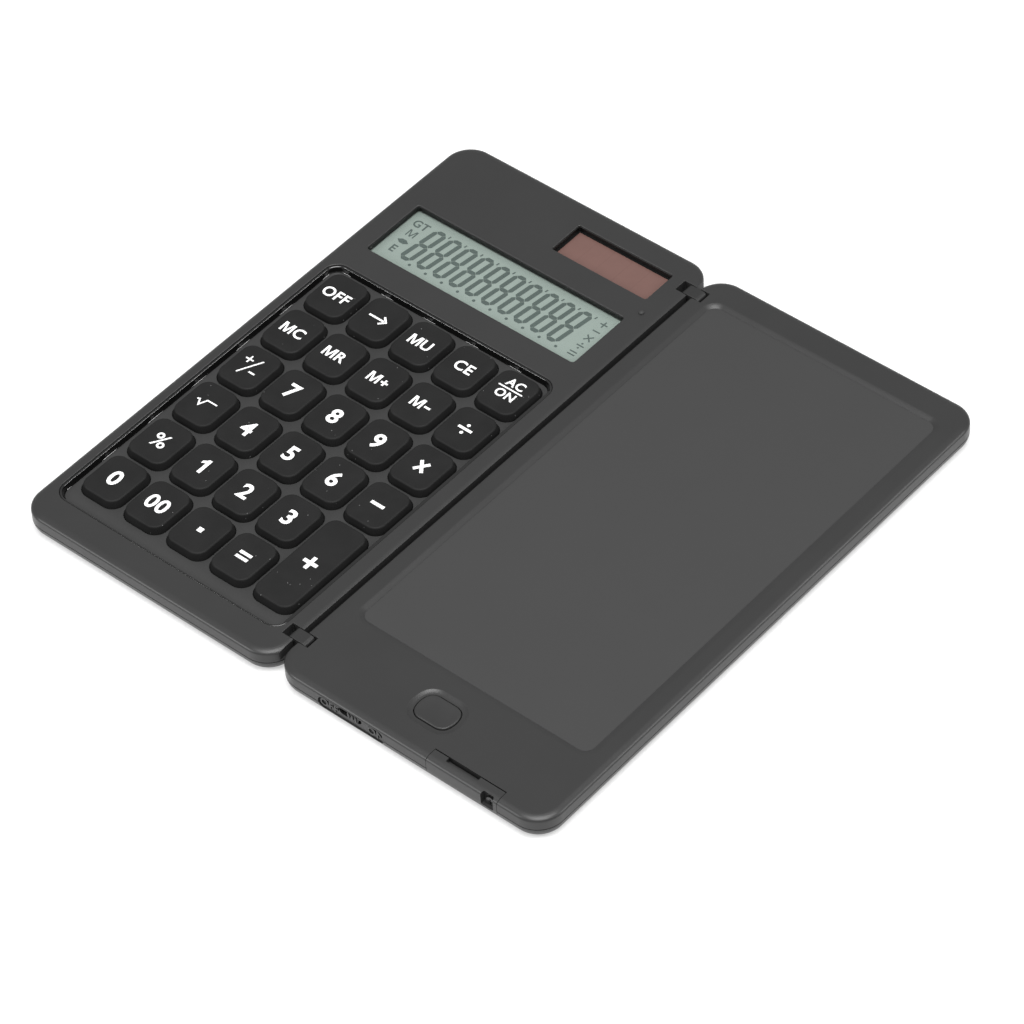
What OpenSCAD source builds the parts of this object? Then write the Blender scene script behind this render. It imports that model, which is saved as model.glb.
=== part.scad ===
// Folding pocket calculator: a keypad half and a writing-tablet half joined by two double-pivot hinge links.
// Lies open at rest. Origin: fold line, mid length, underside. +X towards the tablet, +Y to the back, +Z up.

/* [Case halves] */
// Width of each half, from its fold edge to its outer side
half_w = 77.4; // [77:0.1:95]
// Length of each half, front to back
half_l = 156; // [152:1:190]
// Thickness of each half
case_h = 6.5; // [6.4:0.1:8]
// Gap between the halves at the fold line
fold_gap = 0.2; // [0.1:0.05:0.3]
// Corner radius seen from above
corner_r = 6.8; // [5:0.1:9]
// Thickness of the side walls
side_wall = 1.7; // [1.2:0.1:1.9]
// Thickness of the top face
top_wall = 1.6; // [1.2:0.1:1.8]
// Thickness of the bottom
floor_t = 1.2; // [1:0.1:1.3]
// Height of the seam between the upper and lower shells
seam_z = 3.2; // [2.8:0.1:3.3]
// Width of the rounding along the upper edge
top_round_w = 2.0; // [1:0.1:2.4]
// Depth of the rounding along the upper edge
top_round_h = 1.0; // [0.6:0.1:1.2]
// Width of the rounding along the lower edge
base_round_w = 2.6; // [1:0.1:2.8]

/* [Keys] */
// Width of a key at its foot
key_w = 11.9; // [9:0.1:12]
// Length of a key at its foot
key_l = 13.8; // [10:0.1:14]
// Gap between neighbouring key feet
key_gap = 1.34; // [1.2:0.01:2]
// Corner radius of a key
key_r = 3.2; // [2:0.1:4]
// How far the top of a key tapers in on each side
key_draft = 0.45; // [0.2:0.05:0.6]
// How far the key tops stand above the case
key_proud = 0.4; // [0:0.05:0.45]
// Travel of a key
key_travel = 0.8; // [0.5:0.05:0.9]
// Width of the retaining lip round the foot of a key
key_lip = 0.3; // [0.2:0.05:0.35]
// Thickness of the retaining lip
key_lip_t = 0.9; // [0.6:0.1:1]

/* [Keypad recess] */
// Depth of the recess floor below the case
recess_depth = 1.5; // [1.2:0.1:1.6]
// Corner radius of the recess
recess_r = 4; // [3:0.1:5]
// Distance from the fold line to the recess
recess_hinge_margin = 5.1; // [5:0.1:6]
// Distance from the front of the case to the recess
recess_front_margin = 7.9; // [7.5:0.1:9]
// Floor between the keys and the outer wall of the recess
web_outer = 2.7; // [2.4:0.1:3.5]
// Floor between the keys and the hinge-side wall of the recess
web_hinge = 1.8; // [1.8:0.1:2.4]
// Floor in front of the keys
web_front = 5; // [3:0.1:6]
// Floor behind the keys
web_back = 2.35; // [2:0.05:3]
// Thickness of the recess floor sheet
web_t = 0.8; // [0.6:0.1:0.9]
// Wall of the glossy frame at its foot
bezel_wall = 1.1; // [0.9:0.05:1.2]

/* [Display and solar cell] */
// Distance from the fold line to both windows
window_hinge_margin = 7.4; // [7:0.1:9]
// Width of the display window
lcd_w = 63.9; // [50:0.1:65]
// Length of the display window, front to back
lcd_l = 18.9; // [15:0.1:20]
// Case between the keypad and the display window
lcd_gap = 7.6; // [7.4:0.1:8]
// Width of the solar window
solar_w = 28.7; // [20:0.1:30]
// Length of the solar window, front to back
solar_l = 10.3; // [8:0.1:11]
// Case between the display and solar windows
solar_gap = 7.7; // [5:0.1:8]
// How far glass reaches under the case round a window
glass_lap = 1.1; // [0.8:0.1:1.2]
// Thickness of the clear window over the display
lens_t = 0.4; // [0.3:0.05:0.5]
// Thickness of the display
lcd_t = 1.4; // [1.1:0.1:1.5]
// Thickness of the solar cell
solar_t = 0.8; // [0.6:0.1:1]

/* [Writing tablet] */
// Width of the visible writing film
film_w = 65.2; // [50:0.1:66]
// Length of the visible writing film
film_l = 124.8; // [100:0.1:126]
// Distance from the fold line to the film
film_hinge_margin = 6.1; // [6:0.1:8]
// Distance from the front of the case to the film
film_front_margin = 22.6; // [22:0.1:25]
// Corner radius of the visible film
film_r = 2.5; // [1.5:0.1:3.5]
// Depth of the film below the case
film_depth = 0.6; // [0.4:0.05:0.7]
// Thickness of the film
film_t = 0.4; // [0.3:0.05:0.5]
// How far the film reaches under its surround
film_lap = 1.2; // [0.8:0.1:1.3]

/* [Erase button] */
// Width of the erase button
erase_w = 10.4; // [8:0.1:12]
// Length of the erase button, front to back
erase_l = 7.4; // [6:0.1:8]
// Travel of the erase button
erase_travel = 0.5; // [0.3:0.05:0.6]
// Distance from the fold line to the middle of the button
erase_x = 38.2; // [36:0.1:39]
// Distance from the front of the case to the middle of the button
erase_front = 11.75; // [11:0.05:13]

/* [Lock switch and battery tray] */
// Left end of the slot for the lock slider
switch_x0 = 19.5; // [18:0.1:20]
// Width of the lock slider
slider_w = 3.4; // [3:0.1:3.6]
// Height of the lock slider
slider_h = 2; // [1.6:0.1:2]
// Travel of the lock slider
slider_travel = 2; // [1.5:0.1:2]
// Left end of the battery tray's front
tray_x0 = 44.8; // [44.5:0.1:46]
// Width of the battery tray's front
tray_w = 20.1; // [19.5:0.1:21]
// Depth of the battery tray's front, into the case
tray_lip = 3.5; // [3.2:0.1:4]
// Height of the battery tray's underside
tray_z = 2.4; // [2.3:0.1:2.5]
// Diameter of the tablet's coin cell
coin_d = 12.5; // [10:0.1:12.5]
// Thickness of the tablet's coin cell
coin_t = 1.6; // [1.2:0.1:1.6]

/* [Hinges] */
// Half the distance between the two pivots of a link
pivot_x = 1.5; // [1.4:0.05:1.6]
// Depth of the pivots below the case
pivot_depth = 1.15; // [1.1:0.05:1.2]
// Radius of a link's ends
link_r = 1.1; // [0.9:0.05:1.1]
// Width of a link along the fold line
link_w = 3.2; // [2.4:0.1:3.4]
// Radius of the hinge pins
pin_r = 0.5; // [0.4:0.05:0.6]
// Length of pin held in the case on each side of a link
pin_grip = 1.8; // [1.5:0.1:2]
// Distance from the front of the case to the front link
link_front_margin = 10.05; // [10:0.05:12]
// Distance from the back of the case to the rear link
link_rear_margin = 8.25; // [8:0.05:10]
// Length of the notch behind each link in the calculator half
link_notch = 4.1; // [3.5:0.1:4.3]

/* [Fasteners and boards] */
// Radius of a case screw's head
head_r = 1.4; // [1.1:0.05:1.4]
// Thickness of a case screw's head
head_t = 0.6; // [0.5:0.05:0.65]
// Radius of a case screw's shank
shank_r = 0.7; // [0.5:0.05:0.8]
// Wall round a screw in its boss
boss_wall = 1.0; // [0.8:0.05:1.05]
// Thickness of the circuit boards
board_t = 1.0; // [0.6:0.1:1]
// Diameter of the calculator's button cell
cell_d = 11.6; // [9:0.1:12]
// Thickness of the calculator's button cell
cell_t = 3.05; // [2:0.05:3.1]
// Height of the rubber closing bumper
bumper_h = 0.6; // [0.4:0.05:0.65]

/* [Clearances] */
// Gap round a fixed piece in its seat
seat_gap = 0.05; // [0.03:0.01:0.1]
// Gap round a moving piece in its opening
move_gap = 0.15; // [0.1:0.01:0.2]
// Radial play of a pin in a link
pin_play = 0.04; // [0.02:0.01:0.08]

/* [Hidden] */
cols = 5;
rows = 6;
eps = 0.5;                                       // overshoot of a cut past a face
edge_steps = 6;
base_round_h = seam_z;
half_x0 = fold_gap / 2;
half_x1 = half_x0 + half_w;
front_y = -half_l / 2;
back_y = half_l / 2;
roof_z = case_h - top_wall;                      // underside of the top face
boss_r = shank_r + boss_wall;
boss_z = floor_t + 1.4;                          // where the lower and upper bosses meet
pivot_z = case_h - pivot_depth;

// keypad layout
pitch_x = key_w + key_gap;
pitch_y = key_l + key_gap;
recess_x1 = -recess_hinge_margin;
keys_x1 = recess_x1 - web_hinge;
keys_x0 = keys_x1 - cols * pitch_x + key_gap;
recess_x0 = keys_x0 - web_outer;
recess_y0 = front_y + recess_front_margin;
keys_y0 = recess_y0 + web_front;
keys_y1 = keys_y0 + rows * pitch_y - key_gap;
recess_y1 = keys_y1 + web_back;
web_top = case_h - recess_depth;
web_z = web_top - web_t;
lip_z = web_z - 0.1 - key_lip_t;
board_top = lip_z - key_travel - 0.1;
board_z = board_top - board_t;
key_top = case_h + key_proud;
key_step_z = web_top + 0.7 * (key_top - web_top);
ledge_t = 0.6;                                   // shelf of the glossy frame under the web
ledge_in = web_hinge - key_lip - move_gap;       // how far that shelf reaches, clear of the key lips
web_lap = bezel_wall + seat_gap;

// windows
lcd_x1 = -window_hinge_margin;
lcd_x0 = lcd_x1 - lcd_w;
lcd_y0 = recess_y1 + lcd_gap;
lcd_y1 = lcd_y0 + lcd_l;
lcd_top = roof_z - lens_t;
lcd_z = lcd_top - lcd_t;
solar_x1 = lcd_x1;
solar_x0 = solar_x1 - solar_w;
solar_y0 = lcd_y1 + solar_gap;
solar_y1 = solar_y0 + solar_l;

// button cell and its door
door_w = 23;
door_l = 16;
door_x0 = solar_x0 - 5.9 - door_w;
door_y0 = lcd_y1 + 3.7;
cell_x = door_x0 + 8.5;
cell_y = door_y0 + door_l / 2;
cell_z = floor_t + 0.1;
door_screw = [door_x0 + door_w - 3.5, cell_y];

// writing film
film_x0 = film_hinge_margin;
film_x1 = film_x0 + film_w;
film_y0 = front_y + film_front_margin;
film_y1 = film_y0 + film_l;
film_top = case_h - film_depth;
film_z = film_top - film_t;

// erase button
erase_y = front_y + erase_front;
erase_top = case_h - 0.1;
erase_lip = 0.8;
erase_lip_t = 0.7;
erase_z = roof_z - 0.1 - erase_lip_t;
erase_r = 2.9;
erase_end_r = 6;

// lock switch
slider_end_gap = 0.7;                            // slot left beyond the slider when it is on
switch_slot = slider_w + slider_travel + slider_end_gap + 0.3;
slider_x0 = switch_x0 + switch_slot - slider_end_gap - slider_w;
slider_z = seam_z + 0.25;
slider_proud = 0.1;                              // how far the slider stays inside the wall
stem_w = 1.4;
stem_h = 1;
stem_z = slider_z + 0.3;
stem_l = 1.7;
mark_x0 = switch_x0 - 5.9;
mark_w = 19.2;
mark_h = 3.5;
mark_depth = 0.35;

// battery tray
tray_x1 = tray_x0 + tray_w;
tray_y0 = front_y + tray_lip;
holder_x0 = tray_x0 + 0.4;
holder_wall = 1.2;
holder_floor = 0.4;
holder_w = coin_d + 2 * holder_wall;
holder_x1 = holder_x0 + holder_w;
coin_x = holder_x0 + holder_w / 2;
coin_y = tray_y0 + holder_wall + coin_d / 2;
coin_z = tray_z + holder_floor;
tray_back = coin_y + coin_d / 2 + holder_wall;
tray_screw_x = tray_x1 - 2.6;
tray_screw_z = tray_z + 1.4;
tray_head_r = 1.3;
tray_shank_r = 0.6;
pocket_depth = 1.5;
tray_boss_y = tray_y0 + 4.3;

// hinge links
link_front_y = front_y + link_front_margin;
link_rear_y = back_y - link_rear_margin;
link_ys = [link_front_y, link_rear_y];
notch_w = link_w + 2 * move_gap + 0.1;
notch_z = seam_z + 0.3;
block_x = link_notch + 0.8;
block_w = notch_w + 2 * pin_grip + 1.6;

// case screws
web_cx = (recess_x0 + recess_x1) / 2;
mid_screw_x0 = recess_x0 + 3;
mid_screw_x1 = recess_x1 - 3;
calc_screws = [
    [web_cx - 20, front_y + 4.5], [web_cx + 20, front_y + 4.5],
    [mid_screw_x0, recess_y1 + lcd_gap / 2], [mid_screw_x1, recess_y1 + lcd_gap / 2],
    [-half_x1 + 6.9, back_y - 7], [solar_x0 - 3.9, back_y - 4]
];
// the board's tongue to the display runs between the two middle bosses
tongue_x0 = max(lcd_x0 + 8, mid_screw_x0 + boss_r + 0.5);
tongue_x1 = min(lcd_x1 - 8, mid_screw_x1 - boss_r - 0.5);
tablet_screws = [
    [film_x0 + 4, film_y0 - 7], [half_x1 - 6.2, film_y0 - 8],
    [film_x0 + 14, back_y - 4.4], [film_x1 - 11, back_y - 4.4]
];

KEY_ROWS = [
    ["key_off", "key_backspace", "key_mu", "key_ce", "key_ac_on"],
    ["key_mc", "key_mr", "key_m_plus", "key_m_minus", "key_divide"],
    ["key_sign", "key_7", "key_8", "key_9", "key_multiply"],
    ["key_root", "key_4", "key_5", "key_6", "key_minus"],
    ["key_percent", "key_1", "key_2", "key_3", "key_plus"],
    ["key_0", "key_00", "key_point", "key_equals"]
];
// each key: its name, column from the left and row from the back
KEYS = [for (r = [0 : rows - 1]) for (c = [0 : len(KEY_ROWS[r]) - 1]) [KEY_ROWS[r][c], c, r]];

// ---- shared shapes ----

// A rounded rectangle from (x0, y0) to (x1, y1).
module rounded(x0, y0, x1, y1, r) {
    translate([x0 + r, y0]) square([x1 - x0 - 2 * r, y1 - y0]);
    translate([x0, y0 + r]) square([x1 - x0, y1 - y0 - 2 * r]);
    for (x = [x0 + r, x1 - r], y = [y0 + r, y1 - r])
        translate([x, y]) circle(r, $fn = 32);
}

// An upright block with rounded corners, from z0 to z1.
module block(x0, y0, x1, y1, z0, z1, r = 0) {
    translate([0, 0, z0]) linear_extrude(z1 - z0)
        if (r > 0) rounded(x0, y0, x1, y1, r);
        else translate([x0, y0]) square([x1 - x0, y1 - y0]);
}

// An upright cylinder from z0 to z1.
module post(at, r, z0, z1) {
    translate([at[0], at[1], z0]) cylinder(h = z1 - z0, r = r, $fn = 32);
}

// A cylinder along Y from y0 to y1.
module rod_y(x, z, r, y0, y1) {
    translate([x, y1, z]) rotate([90, 0, 0]) cylinder(h = y1 - y0, r = r, $fn = 32);
}

// Side profile of a case corner: elliptical rounding below, upright wall, elliptical rounding above.
edge_profile = concat(
    [[0, 0]],
    [for (i = [0 : edge_steps]) let(a = 90 * i / edge_steps)
        [corner_r - base_round_w * (1 - sin(a)), base_round_h * (1 - cos(a))]],
    [for (i = [0 : edge_steps]) let(a = 90 * i / edge_steps)
        [corner_r - top_round_w * (1 - cos(a)), case_h - top_round_h * (1 - sin(a))]],
    [[0, case_h]]
);

// Solid outer form of the tablet half; the calculator half is its mirror image.
module half_form() {
    hull()
        for (x = [half_x0 + corner_r, half_x1 - corner_r], y = [front_y + corner_r, back_y - corner_r])
            translate([x, y, 0]) rotate_extrude($fn = 48) polygon(edge_profile);
}

// Hollow inside a half.
module half_cavity() {
    block(half_x0 + side_wall, front_y + side_wall, half_x1 - side_wall, back_y - side_wall,
        floor_t, roof_z, corner_r - side_wall);
}

// Everything above or below the seam.
module above_seam() {
    block(-2 * half_w, 2 * front_y, 2 * half_w, 2 * back_y, seam_z, 2 * case_h);
}
module below_seam() {
    block(-2 * half_w, 2 * front_y, 2 * half_w, 2 * back_y, -case_h, seam_z);
}

// Solid corner behind each link that holds the pins.
module hinge_blocks() {
    for (y = link_ys)
        block(half_x0, y - block_w / 2, block_x, y + block_w / 2, seam_z, case_h);
}

// Notch for each link, reach long, and the pin bore beside it.
module hinge_cuts(reach) {
    for (y = link_ys) {
        block(-eps, y - notch_w / 2, reach, y + notch_w / 2, notch_z, case_h + eps);
        rod_y(pivot_x, pivot_z, pin_r + 0.02, y - notch_w / 2 - pin_grip, y + notch_w / 2 + pin_grip);
    }
}

module pins() {
    for (y = link_ys)
        rod_y(pivot_x, pivot_z, pin_r, y - notch_w / 2 - pin_grip + 0.1, y + notch_w / 2 + pin_grip - 0.1);
}

// Upper shell without its openings: bosses at each place in list.
module upper_shell(list) {
    difference() {
        intersection() {
            half_form();
            above_seam();
        }
        difference() {
            half_cavity();
            hinge_blocks();
            for (s = list) post(s, boss_r, boss_z, roof_z + eps);
        }
        for (s = list) post(s, shank_r + 0.04, floor_t, roof_z - 0.3);
    }
    for (s = list) difference() {
        post(s, boss_r, boss_z, seam_z + 0.01);
        post(s, shank_r + 0.04, floor_t, roof_z);
    }
}

// Lower shell with a boss and a countersunk hole at each place in list.
module lower_shell(list) {
    difference() {
        intersection() {
            half_form();
            below_seam();
        }
        difference() {
            half_cavity();
            for (s = list) post(s, boss_r, floor_t - eps, boss_z);
        }
        for (s = list) screw_hole(s);
    }
}

// Counterbore and clearance hole for a screw entering from below.
module screw_hole(at) {
    post(at, head_r + 0.15, -eps, head_t + 0.2);
    post(at, shank_r + 0.15, -eps, boss_z + eps);
}

// A screw entering from below, with a cross in its head.
module screw(at) {
    cross_w = 0.4;
    translate([at[0], at[1], 0]) difference() {
        union() {
            translate([0, 0, 0.2]) cylinder(h = head_t, r = head_r, $fn = 32);
            translate([0, 0, 0.2]) cylinder(h = roof_z - 0.8, r = shank_r, $fn = 32);
        }
        for (a = [0, 90]) rotate([0, 0, a])
            translate([-head_r * 0.6, -cross_w / 2, 0]) cube([head_r * 1.2, cross_w, 0.2 + head_t / 2]);
    }
}

// ---- calculator half ----

module calc_top_case() {
    color([0.085, 0.085, 0.09]) difference() {
        mirror([1, 0, 0]) difference() {
            upper_shell([for (s = concat(calc_screws, [door_screw])) [-s[0], s[1]]]);
            hinge_cuts(link_notch);
        }
        block(recess_x0, recess_y0, recess_x1, recess_y1, 0, case_h + eps, recess_r);
        block(lcd_x0, lcd_y0, lcd_x1, lcd_y1, 0, case_h + eps, 0.8);
        block(solar_x0, solar_y0, solar_x1, solar_y1, 0, case_h + eps, 0.6);
    }
}

module calc_bottom_case() {
    color([0.08, 0.08, 0.085]) difference() {
        mirror([1, 0, 0]) lower_shell([for (s = calc_screws) [-s[0], s[1]]]);
        block(door_x0, door_y0, door_x0 + door_w, door_y0 + door_l, -eps, floor_t + eps, 1.5);
    }
}

// Glossy frame that lines the keypad recess, with a shelf under the web.
module keypad_bezel() {
    color([0.02, 0.02, 0.022]) difference() {
        recess_ring(seat_gap, web_z - ledge_t, case_h);
        recess_ring(bezel_wall * 0.4, web_top + recess_depth / 2, case_h + eps);
        recess_ring(bezel_wall, web_z, case_h);
        recess_ring(ledge_in, 0, case_h);
    }
}

// The recess outline drawn in by inset, from z0 to z1.
module recess_ring(inset, z0, z1) {
    block(recess_x0 + inset, recess_y0 + inset, recess_x1 - inset, recess_y1 - inset,
        z0, z1, recess_r - inset);
}

module keypad_web() {
    color([0.12, 0.12, 0.12]) difference() {
        recess_ring(web_lap, web_z, web_top);
        for (k = KEYS) key_block(k, move_gap, 0, case_h);
    }
}

// Upright block on a key's outline, grown by grow.
module key_block(k, grow, z0, z1) {
    tall = k[0] == "key_plus" ? 2 : 1;
    x0 = keys_x0 + k[1] * pitch_x;
    y1 = keys_y1 - k[2] * pitch_y;
    y0 = y1 - tall * pitch_y + key_gap;
    block(x0 - grow, y0 - grow, x0 + key_w + grow, y1 + grow, z0, z1, key_r + grow);
}

module key(k) {
    color([0.05, 0.05, 0.05]) {
        key_block(k, key_lip, lip_z, lip_z + key_lip_t);
        key_block(k, 0, lip_z, key_step_z);
        key_block(k, -key_draft, key_step_z, key_top);
    }
}

module lcd_window() {
    color([0.85, 0.9, 0.85, 0.3])
        block(lcd_x0 - glass_lap, lcd_y0 - glass_lap, lcd_x1 + glass_lap, lcd_y1 + glass_lap,
            lcd_top, roof_z);
}

module lcd_panel() {
    color([0.62, 0.7, 0.62])
        block(lcd_x0 - glass_lap / 2, lcd_y0 - glass_lap / 2, lcd_x1 + glass_lap / 2,
            lcd_y1 + glass_lap / 2, lcd_z, lcd_top);
}

module lcd_connector() {
    color([0.75, 0.6, 0.6])
        block(lcd_x0 + 9, lcd_y0 + 0.5, lcd_x1 - 9, lcd_y0 + 2.5, board_top, lcd_z);
}

module solar_cell() {
    color([0.42, 0.31, 0.29])
        block(solar_x0 - glass_lap, solar_y0 - glass_lap, solar_x1 + glass_lap, solar_y1 + glass_lap,
            roof_z - solar_t, roof_z);
}

module calc_circuit_board() {
    color([0.1, 0.35, 0.2]) {
        block(recess_x0 + 1, recess_y0 + 1.6, recess_x1 - 1, recess_y1 - 0.5, board_z, board_top, 2);
        block(tongue_x0, recess_y1 - 2, tongue_x1, lcd_y0 + 4, board_z, board_top);
    }
}

module calc_button_cell() {
    color([0.75, 0.75, 0.76]) {
        post([cell_x, cell_y], cell_d / 2, cell_z, cell_z + cell_t * 0.8);
        post([cell_x, cell_y], cell_d / 2 - 0.8, cell_z, cell_z + cell_t);
    }
}

module calc_cell_door() {
    gap = 0.1;
    color([0.08, 0.08, 0.085]) difference() {
        union() {
            block(door_x0 + gap, door_y0 + gap, door_x0 + door_w - gap, door_y0 + door_l - gap,
                0, floor_t, 1.4);
            post(door_screw, boss_r, floor_t - 0.1, boss_z);
        }
        screw_hole(door_screw);
    }
}

module calc_case_screws() {
    color([0.6, 0.6, 0.62]) for (s = concat(calc_screws, [door_screw])) screw(s);
}

module calc_hinge_pins() {
    color([0.7, 0.7, 0.72]) mirror([1, 0, 0]) pins();
}

module closing_bumper() {
    at = [-recess_hinge_margin - 0.2, back_y - 21.2];
    color([0.1, 0.1, 0.1]) {
        post(at, 0.7, case_h, case_h + bumper_h - 0.2);
        post(at, 0.5, case_h, case_h + bumper_h);
    }
}

// ---- hinge links ----

// A link lying across the fold line at y, with a bore for each pin.
module link(y) {
    y0 = y - link_w / 2;
    y1 = y + link_w / 2;
    color([0.07, 0.07, 0.075]) difference() {
        union() {
            for (x = [-pivot_x, pivot_x]) rod_y(x, pivot_z, link_r, y0, y1);
            block(-pivot_x, y0, pivot_x, y1, pivot_z - link_r, pivot_z + link_r);
        }
        for (x = [-pivot_x, pivot_x]) rod_y(x, pivot_z, pin_r + pin_play, y0 - eps, y1 + eps);
    }
}

module hinge_link_front() { link(link_front_y); }
module hinge_link_rear() { link(link_rear_y); }

// ---- tablet half ----

module tablet_top_case() {
    color([0.085, 0.085, 0.09]) difference() {
        upper_shell(tablet_screws);
        hinge_cuts(pivot_x + link_r + move_gap);
        block(film_x0, film_y0, film_x1, film_y1, film_z, case_h + eps, film_r);
        film_block(0, roof_z - eps, film_top);
        erase_block(move_gap, 0, case_h + eps);
        switch_cuts();
        tray_cuts();
    }
}

module tablet_bottom_case() {
    color([0.08, 0.08, 0.085]) {
        difference() {
            lower_shell(tablet_screws);
            switch_cuts();
            tray_cuts();
        }
        tray_rails();
    }
}

// The film's full outline drawn in by inset, from z0 to z1.
module film_block(inset, z0, z1) {
    lap = film_lap - inset;
    block(film_x0 - lap, film_y0 - lap, film_x1 + lap, film_y1 + lap, z0, z1);
}

module writing_film() {
    color([0.11, 0.11, 0.115]) film_block(seat_gap, film_z, film_top);
}

module film_backing() {
    color([0.2, 0.2, 0.2]) film_block(seat_gap, roof_z, film_z);
}

// The erase button's outline, two bowed ends and straight front and back, grown by grow.
module erase_block(grow, z0, z1) {
    translate([erase_x, erase_y, z0]) linear_extrude(z1 - z0) intersection() {
        rounded(-erase_w / 2 - grow, -erase_l / 2 - grow, erase_w / 2 + grow, erase_l / 2 + grow,
            erase_r + grow);
        translate([erase_end_r - erase_w / 2, 0]) circle(erase_end_r + grow, $fn = 64);
        translate([erase_w / 2 - erase_end_r, 0]) circle(erase_end_r + grow, $fn = 64);
    }
}

module erase_button() {
    color([0.09, 0.09, 0.095]) {
        erase_block(0, erase_z, erase_top);
        erase_block(erase_lip, erase_z, erase_z + erase_lip_t);
    }
}

module erase_switch() {
    color([0.5, 0.5, 0.5]) {
        block(erase_x - 2.2, erase_y - 2.2, erase_x + 2.2, erase_y + 2.2, board_top, board_top + 0.8);
        post([erase_x, erase_y], 1.2, board_top, erase_z - erase_travel - 0.1);
    }
}

module tablet_circuit_board() {
    color([0.1, 0.35, 0.2])
        block(film_x0 + 6.4, front_y + 4.6, tray_x0 - 1.3, film_y0 - 3, board_z, board_top);
}

// Shallow stadium on the front wall, and the slot that the lock slider moves in.
module switch_cuts() {
    mark_z = seam_z + 0.5;
    for (x = [mark_x0 + mark_h / 2, mark_x0 + mark_w - mark_h / 2])
        rod_y(x, mark_z, mark_h / 2, front_y - eps, front_y + mark_depth);
    block(mark_x0 + mark_h / 2, front_y - eps, mark_x0 + mark_w - mark_h / 2, front_y + mark_depth,
        mark_z - mark_h / 2, mark_z + mark_h / 2);
    block(switch_x0, front_y - eps, switch_x0 + switch_slot, front_y + side_wall + eps,
        slider_z - move_gap, slider_z + slider_h + move_gap);
}

module lock_slider() {
    ribs = 3;
    rib_w = 0.5;
    face_y = front_y + slider_proud + 0.25;
    color([0.09, 0.09, 0.095]) {
        block(slider_x0, face_y, slider_x0 + slider_w, front_y + side_wall,
            slider_z, slider_z + slider_h);
        for (i = [0 : ribs - 1])
            translate([slider_x0 + (i + 0.5) * slider_w / ribs - rib_w / 2, face_y - 0.25, slider_z])
                cube([rib_w, 0.3, slider_h]);
        block(slider_x0 + slider_w / 2 - stem_w / 2, front_y + side_wall - 0.1,
            slider_x0 + slider_w / 2 + stem_w / 2, front_y + side_wall + stem_l,
            stem_z, stem_z + stem_h);
    }
}

module lock_switch_body() {
    y0 = front_y + side_wall + 0.1;
    color([0.15, 0.15, 0.15]) difference() {
        block(switch_x0 - 1, y0, switch_x0 + switch_slot + 1, y0 + 3.8, board_top, roof_z - 0.3);
        block(switch_x0 - 0.2, y0 - eps, switch_x0 + switch_slot + 0.2, y0 + stem_l + 0.3,
            stem_z - 0.2, stem_z + stem_h + 0.2);
    }
}

// Opening for the tray's front and the way in for its holder.
module tray_cuts() {
    block(tray_x0, front_y - eps, tray_x1, tray_y0, tray_z - 0.1, case_h + eps);
}

// Floor and rails under the tray, and the boss for its screw.
module tray_rails() {
    rail_y0 = front_y + side_wall - 0.1;
    block(tray_x0, rail_y0, tray_x1, tray_back, floor_t - 0.1, tray_z - 0.1);
    block(tray_x0 - 0.9, tray_y0 + 0.1, tray_x0, tray_back, floor_t - 0.1, seam_z);
    difference() {
        block(holder_x1 + 0.3, tray_y0 + 0.1, tray_x1 + 0.6, tray_boss_y, floor_t - 0.1, roof_z - 0.2);
        rod_y(tray_screw_x, tray_screw_z, tray_shank_r + 0.04, tray_y0, tray_boss_y - 0.6);
    }
}

module battery_tray() {
    gap = 0.12;
    notch_x = coin_x + 0.6;
    notch_l = 8.8;
    color([0.085, 0.085, 0.09]) difference() {
        union() {
            intersection() {
                half_form();
                block(tray_x0 + gap, front_y - eps, tray_x1 - gap, tray_y0 - gap, tray_z, case_h + eps);
            }
            block(holder_x0, tray_y0 - gap - 0.5, holder_x1, tray_back, tray_z, coin_z + coin_t);
        }
        post([coin_x, coin_y], coin_d / 2 + 0.1, coin_z, case_h);
        block(notch_x - notch_l / 2, tray_y0 - 1.5, notch_x + notch_l / 2, tray_y0 - 0.6,
            case_h - 0.9, case_h + eps);
        block(tray_screw_x - 2, front_y - eps, tray_screw_x + 2, front_y + pocket_depth,
            tray_screw_z - 1.4, case_h - 0.15);
        rod_y(tray_screw_x, tray_screw_z, tray_shank_r + 0.05, front_y - eps, tray_y0 + eps);
    }
}

module tablet_coin_cell() {
    color([0.75, 0.75, 0.76]) {
        post([coin_x, coin_y], coin_d / 2, coin_z, coin_z + coin_t * 0.75);
        post([coin_x, coin_y], coin_d / 2 - 0.9, coin_z, coin_z + coin_t);
    }
}

module tray_screw() {
    head_y = front_y + pocket_depth;
    cross_w = 0.4;
    color([0.6, 0.6, 0.62]) difference() {
        union() {
            rod_y(tray_screw_x, tray_screw_z, tray_head_r, head_y - head_t, head_y);
            rod_y(tray_screw_x, tray_screw_z, tray_shank_r, head_y - 0.1, tray_boss_y - 1);
        }
        for (a = [0, 90]) translate([tray_screw_x, head_y - head_t, tray_screw_z]) rotate([0, a, 0])
            translate([-tray_head_r * 0.65, -0.1, -cross_w / 2])
                cube([tray_head_r * 1.3, 0.1 + head_t / 2, cross_w]);
    }
}

module tablet_cell_contacts() {
    z0 = coin_z + coin_t + 0.12;
    color([0.75, 0.68, 0.45]) for (x = [coin_x - 4, coin_x + 3])
        block(x, coin_y - 3, x + 1.2, tray_back + 2, z0, z0 + 0.2);
}

module tablet_case_screws() {
    color([0.6, 0.6, 0.62]) for (s = tablet_screws) screw(s);
}

module tablet_hinge_pins() {
    color([0.7, 0.7, 0.72]) pins();
}

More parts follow.
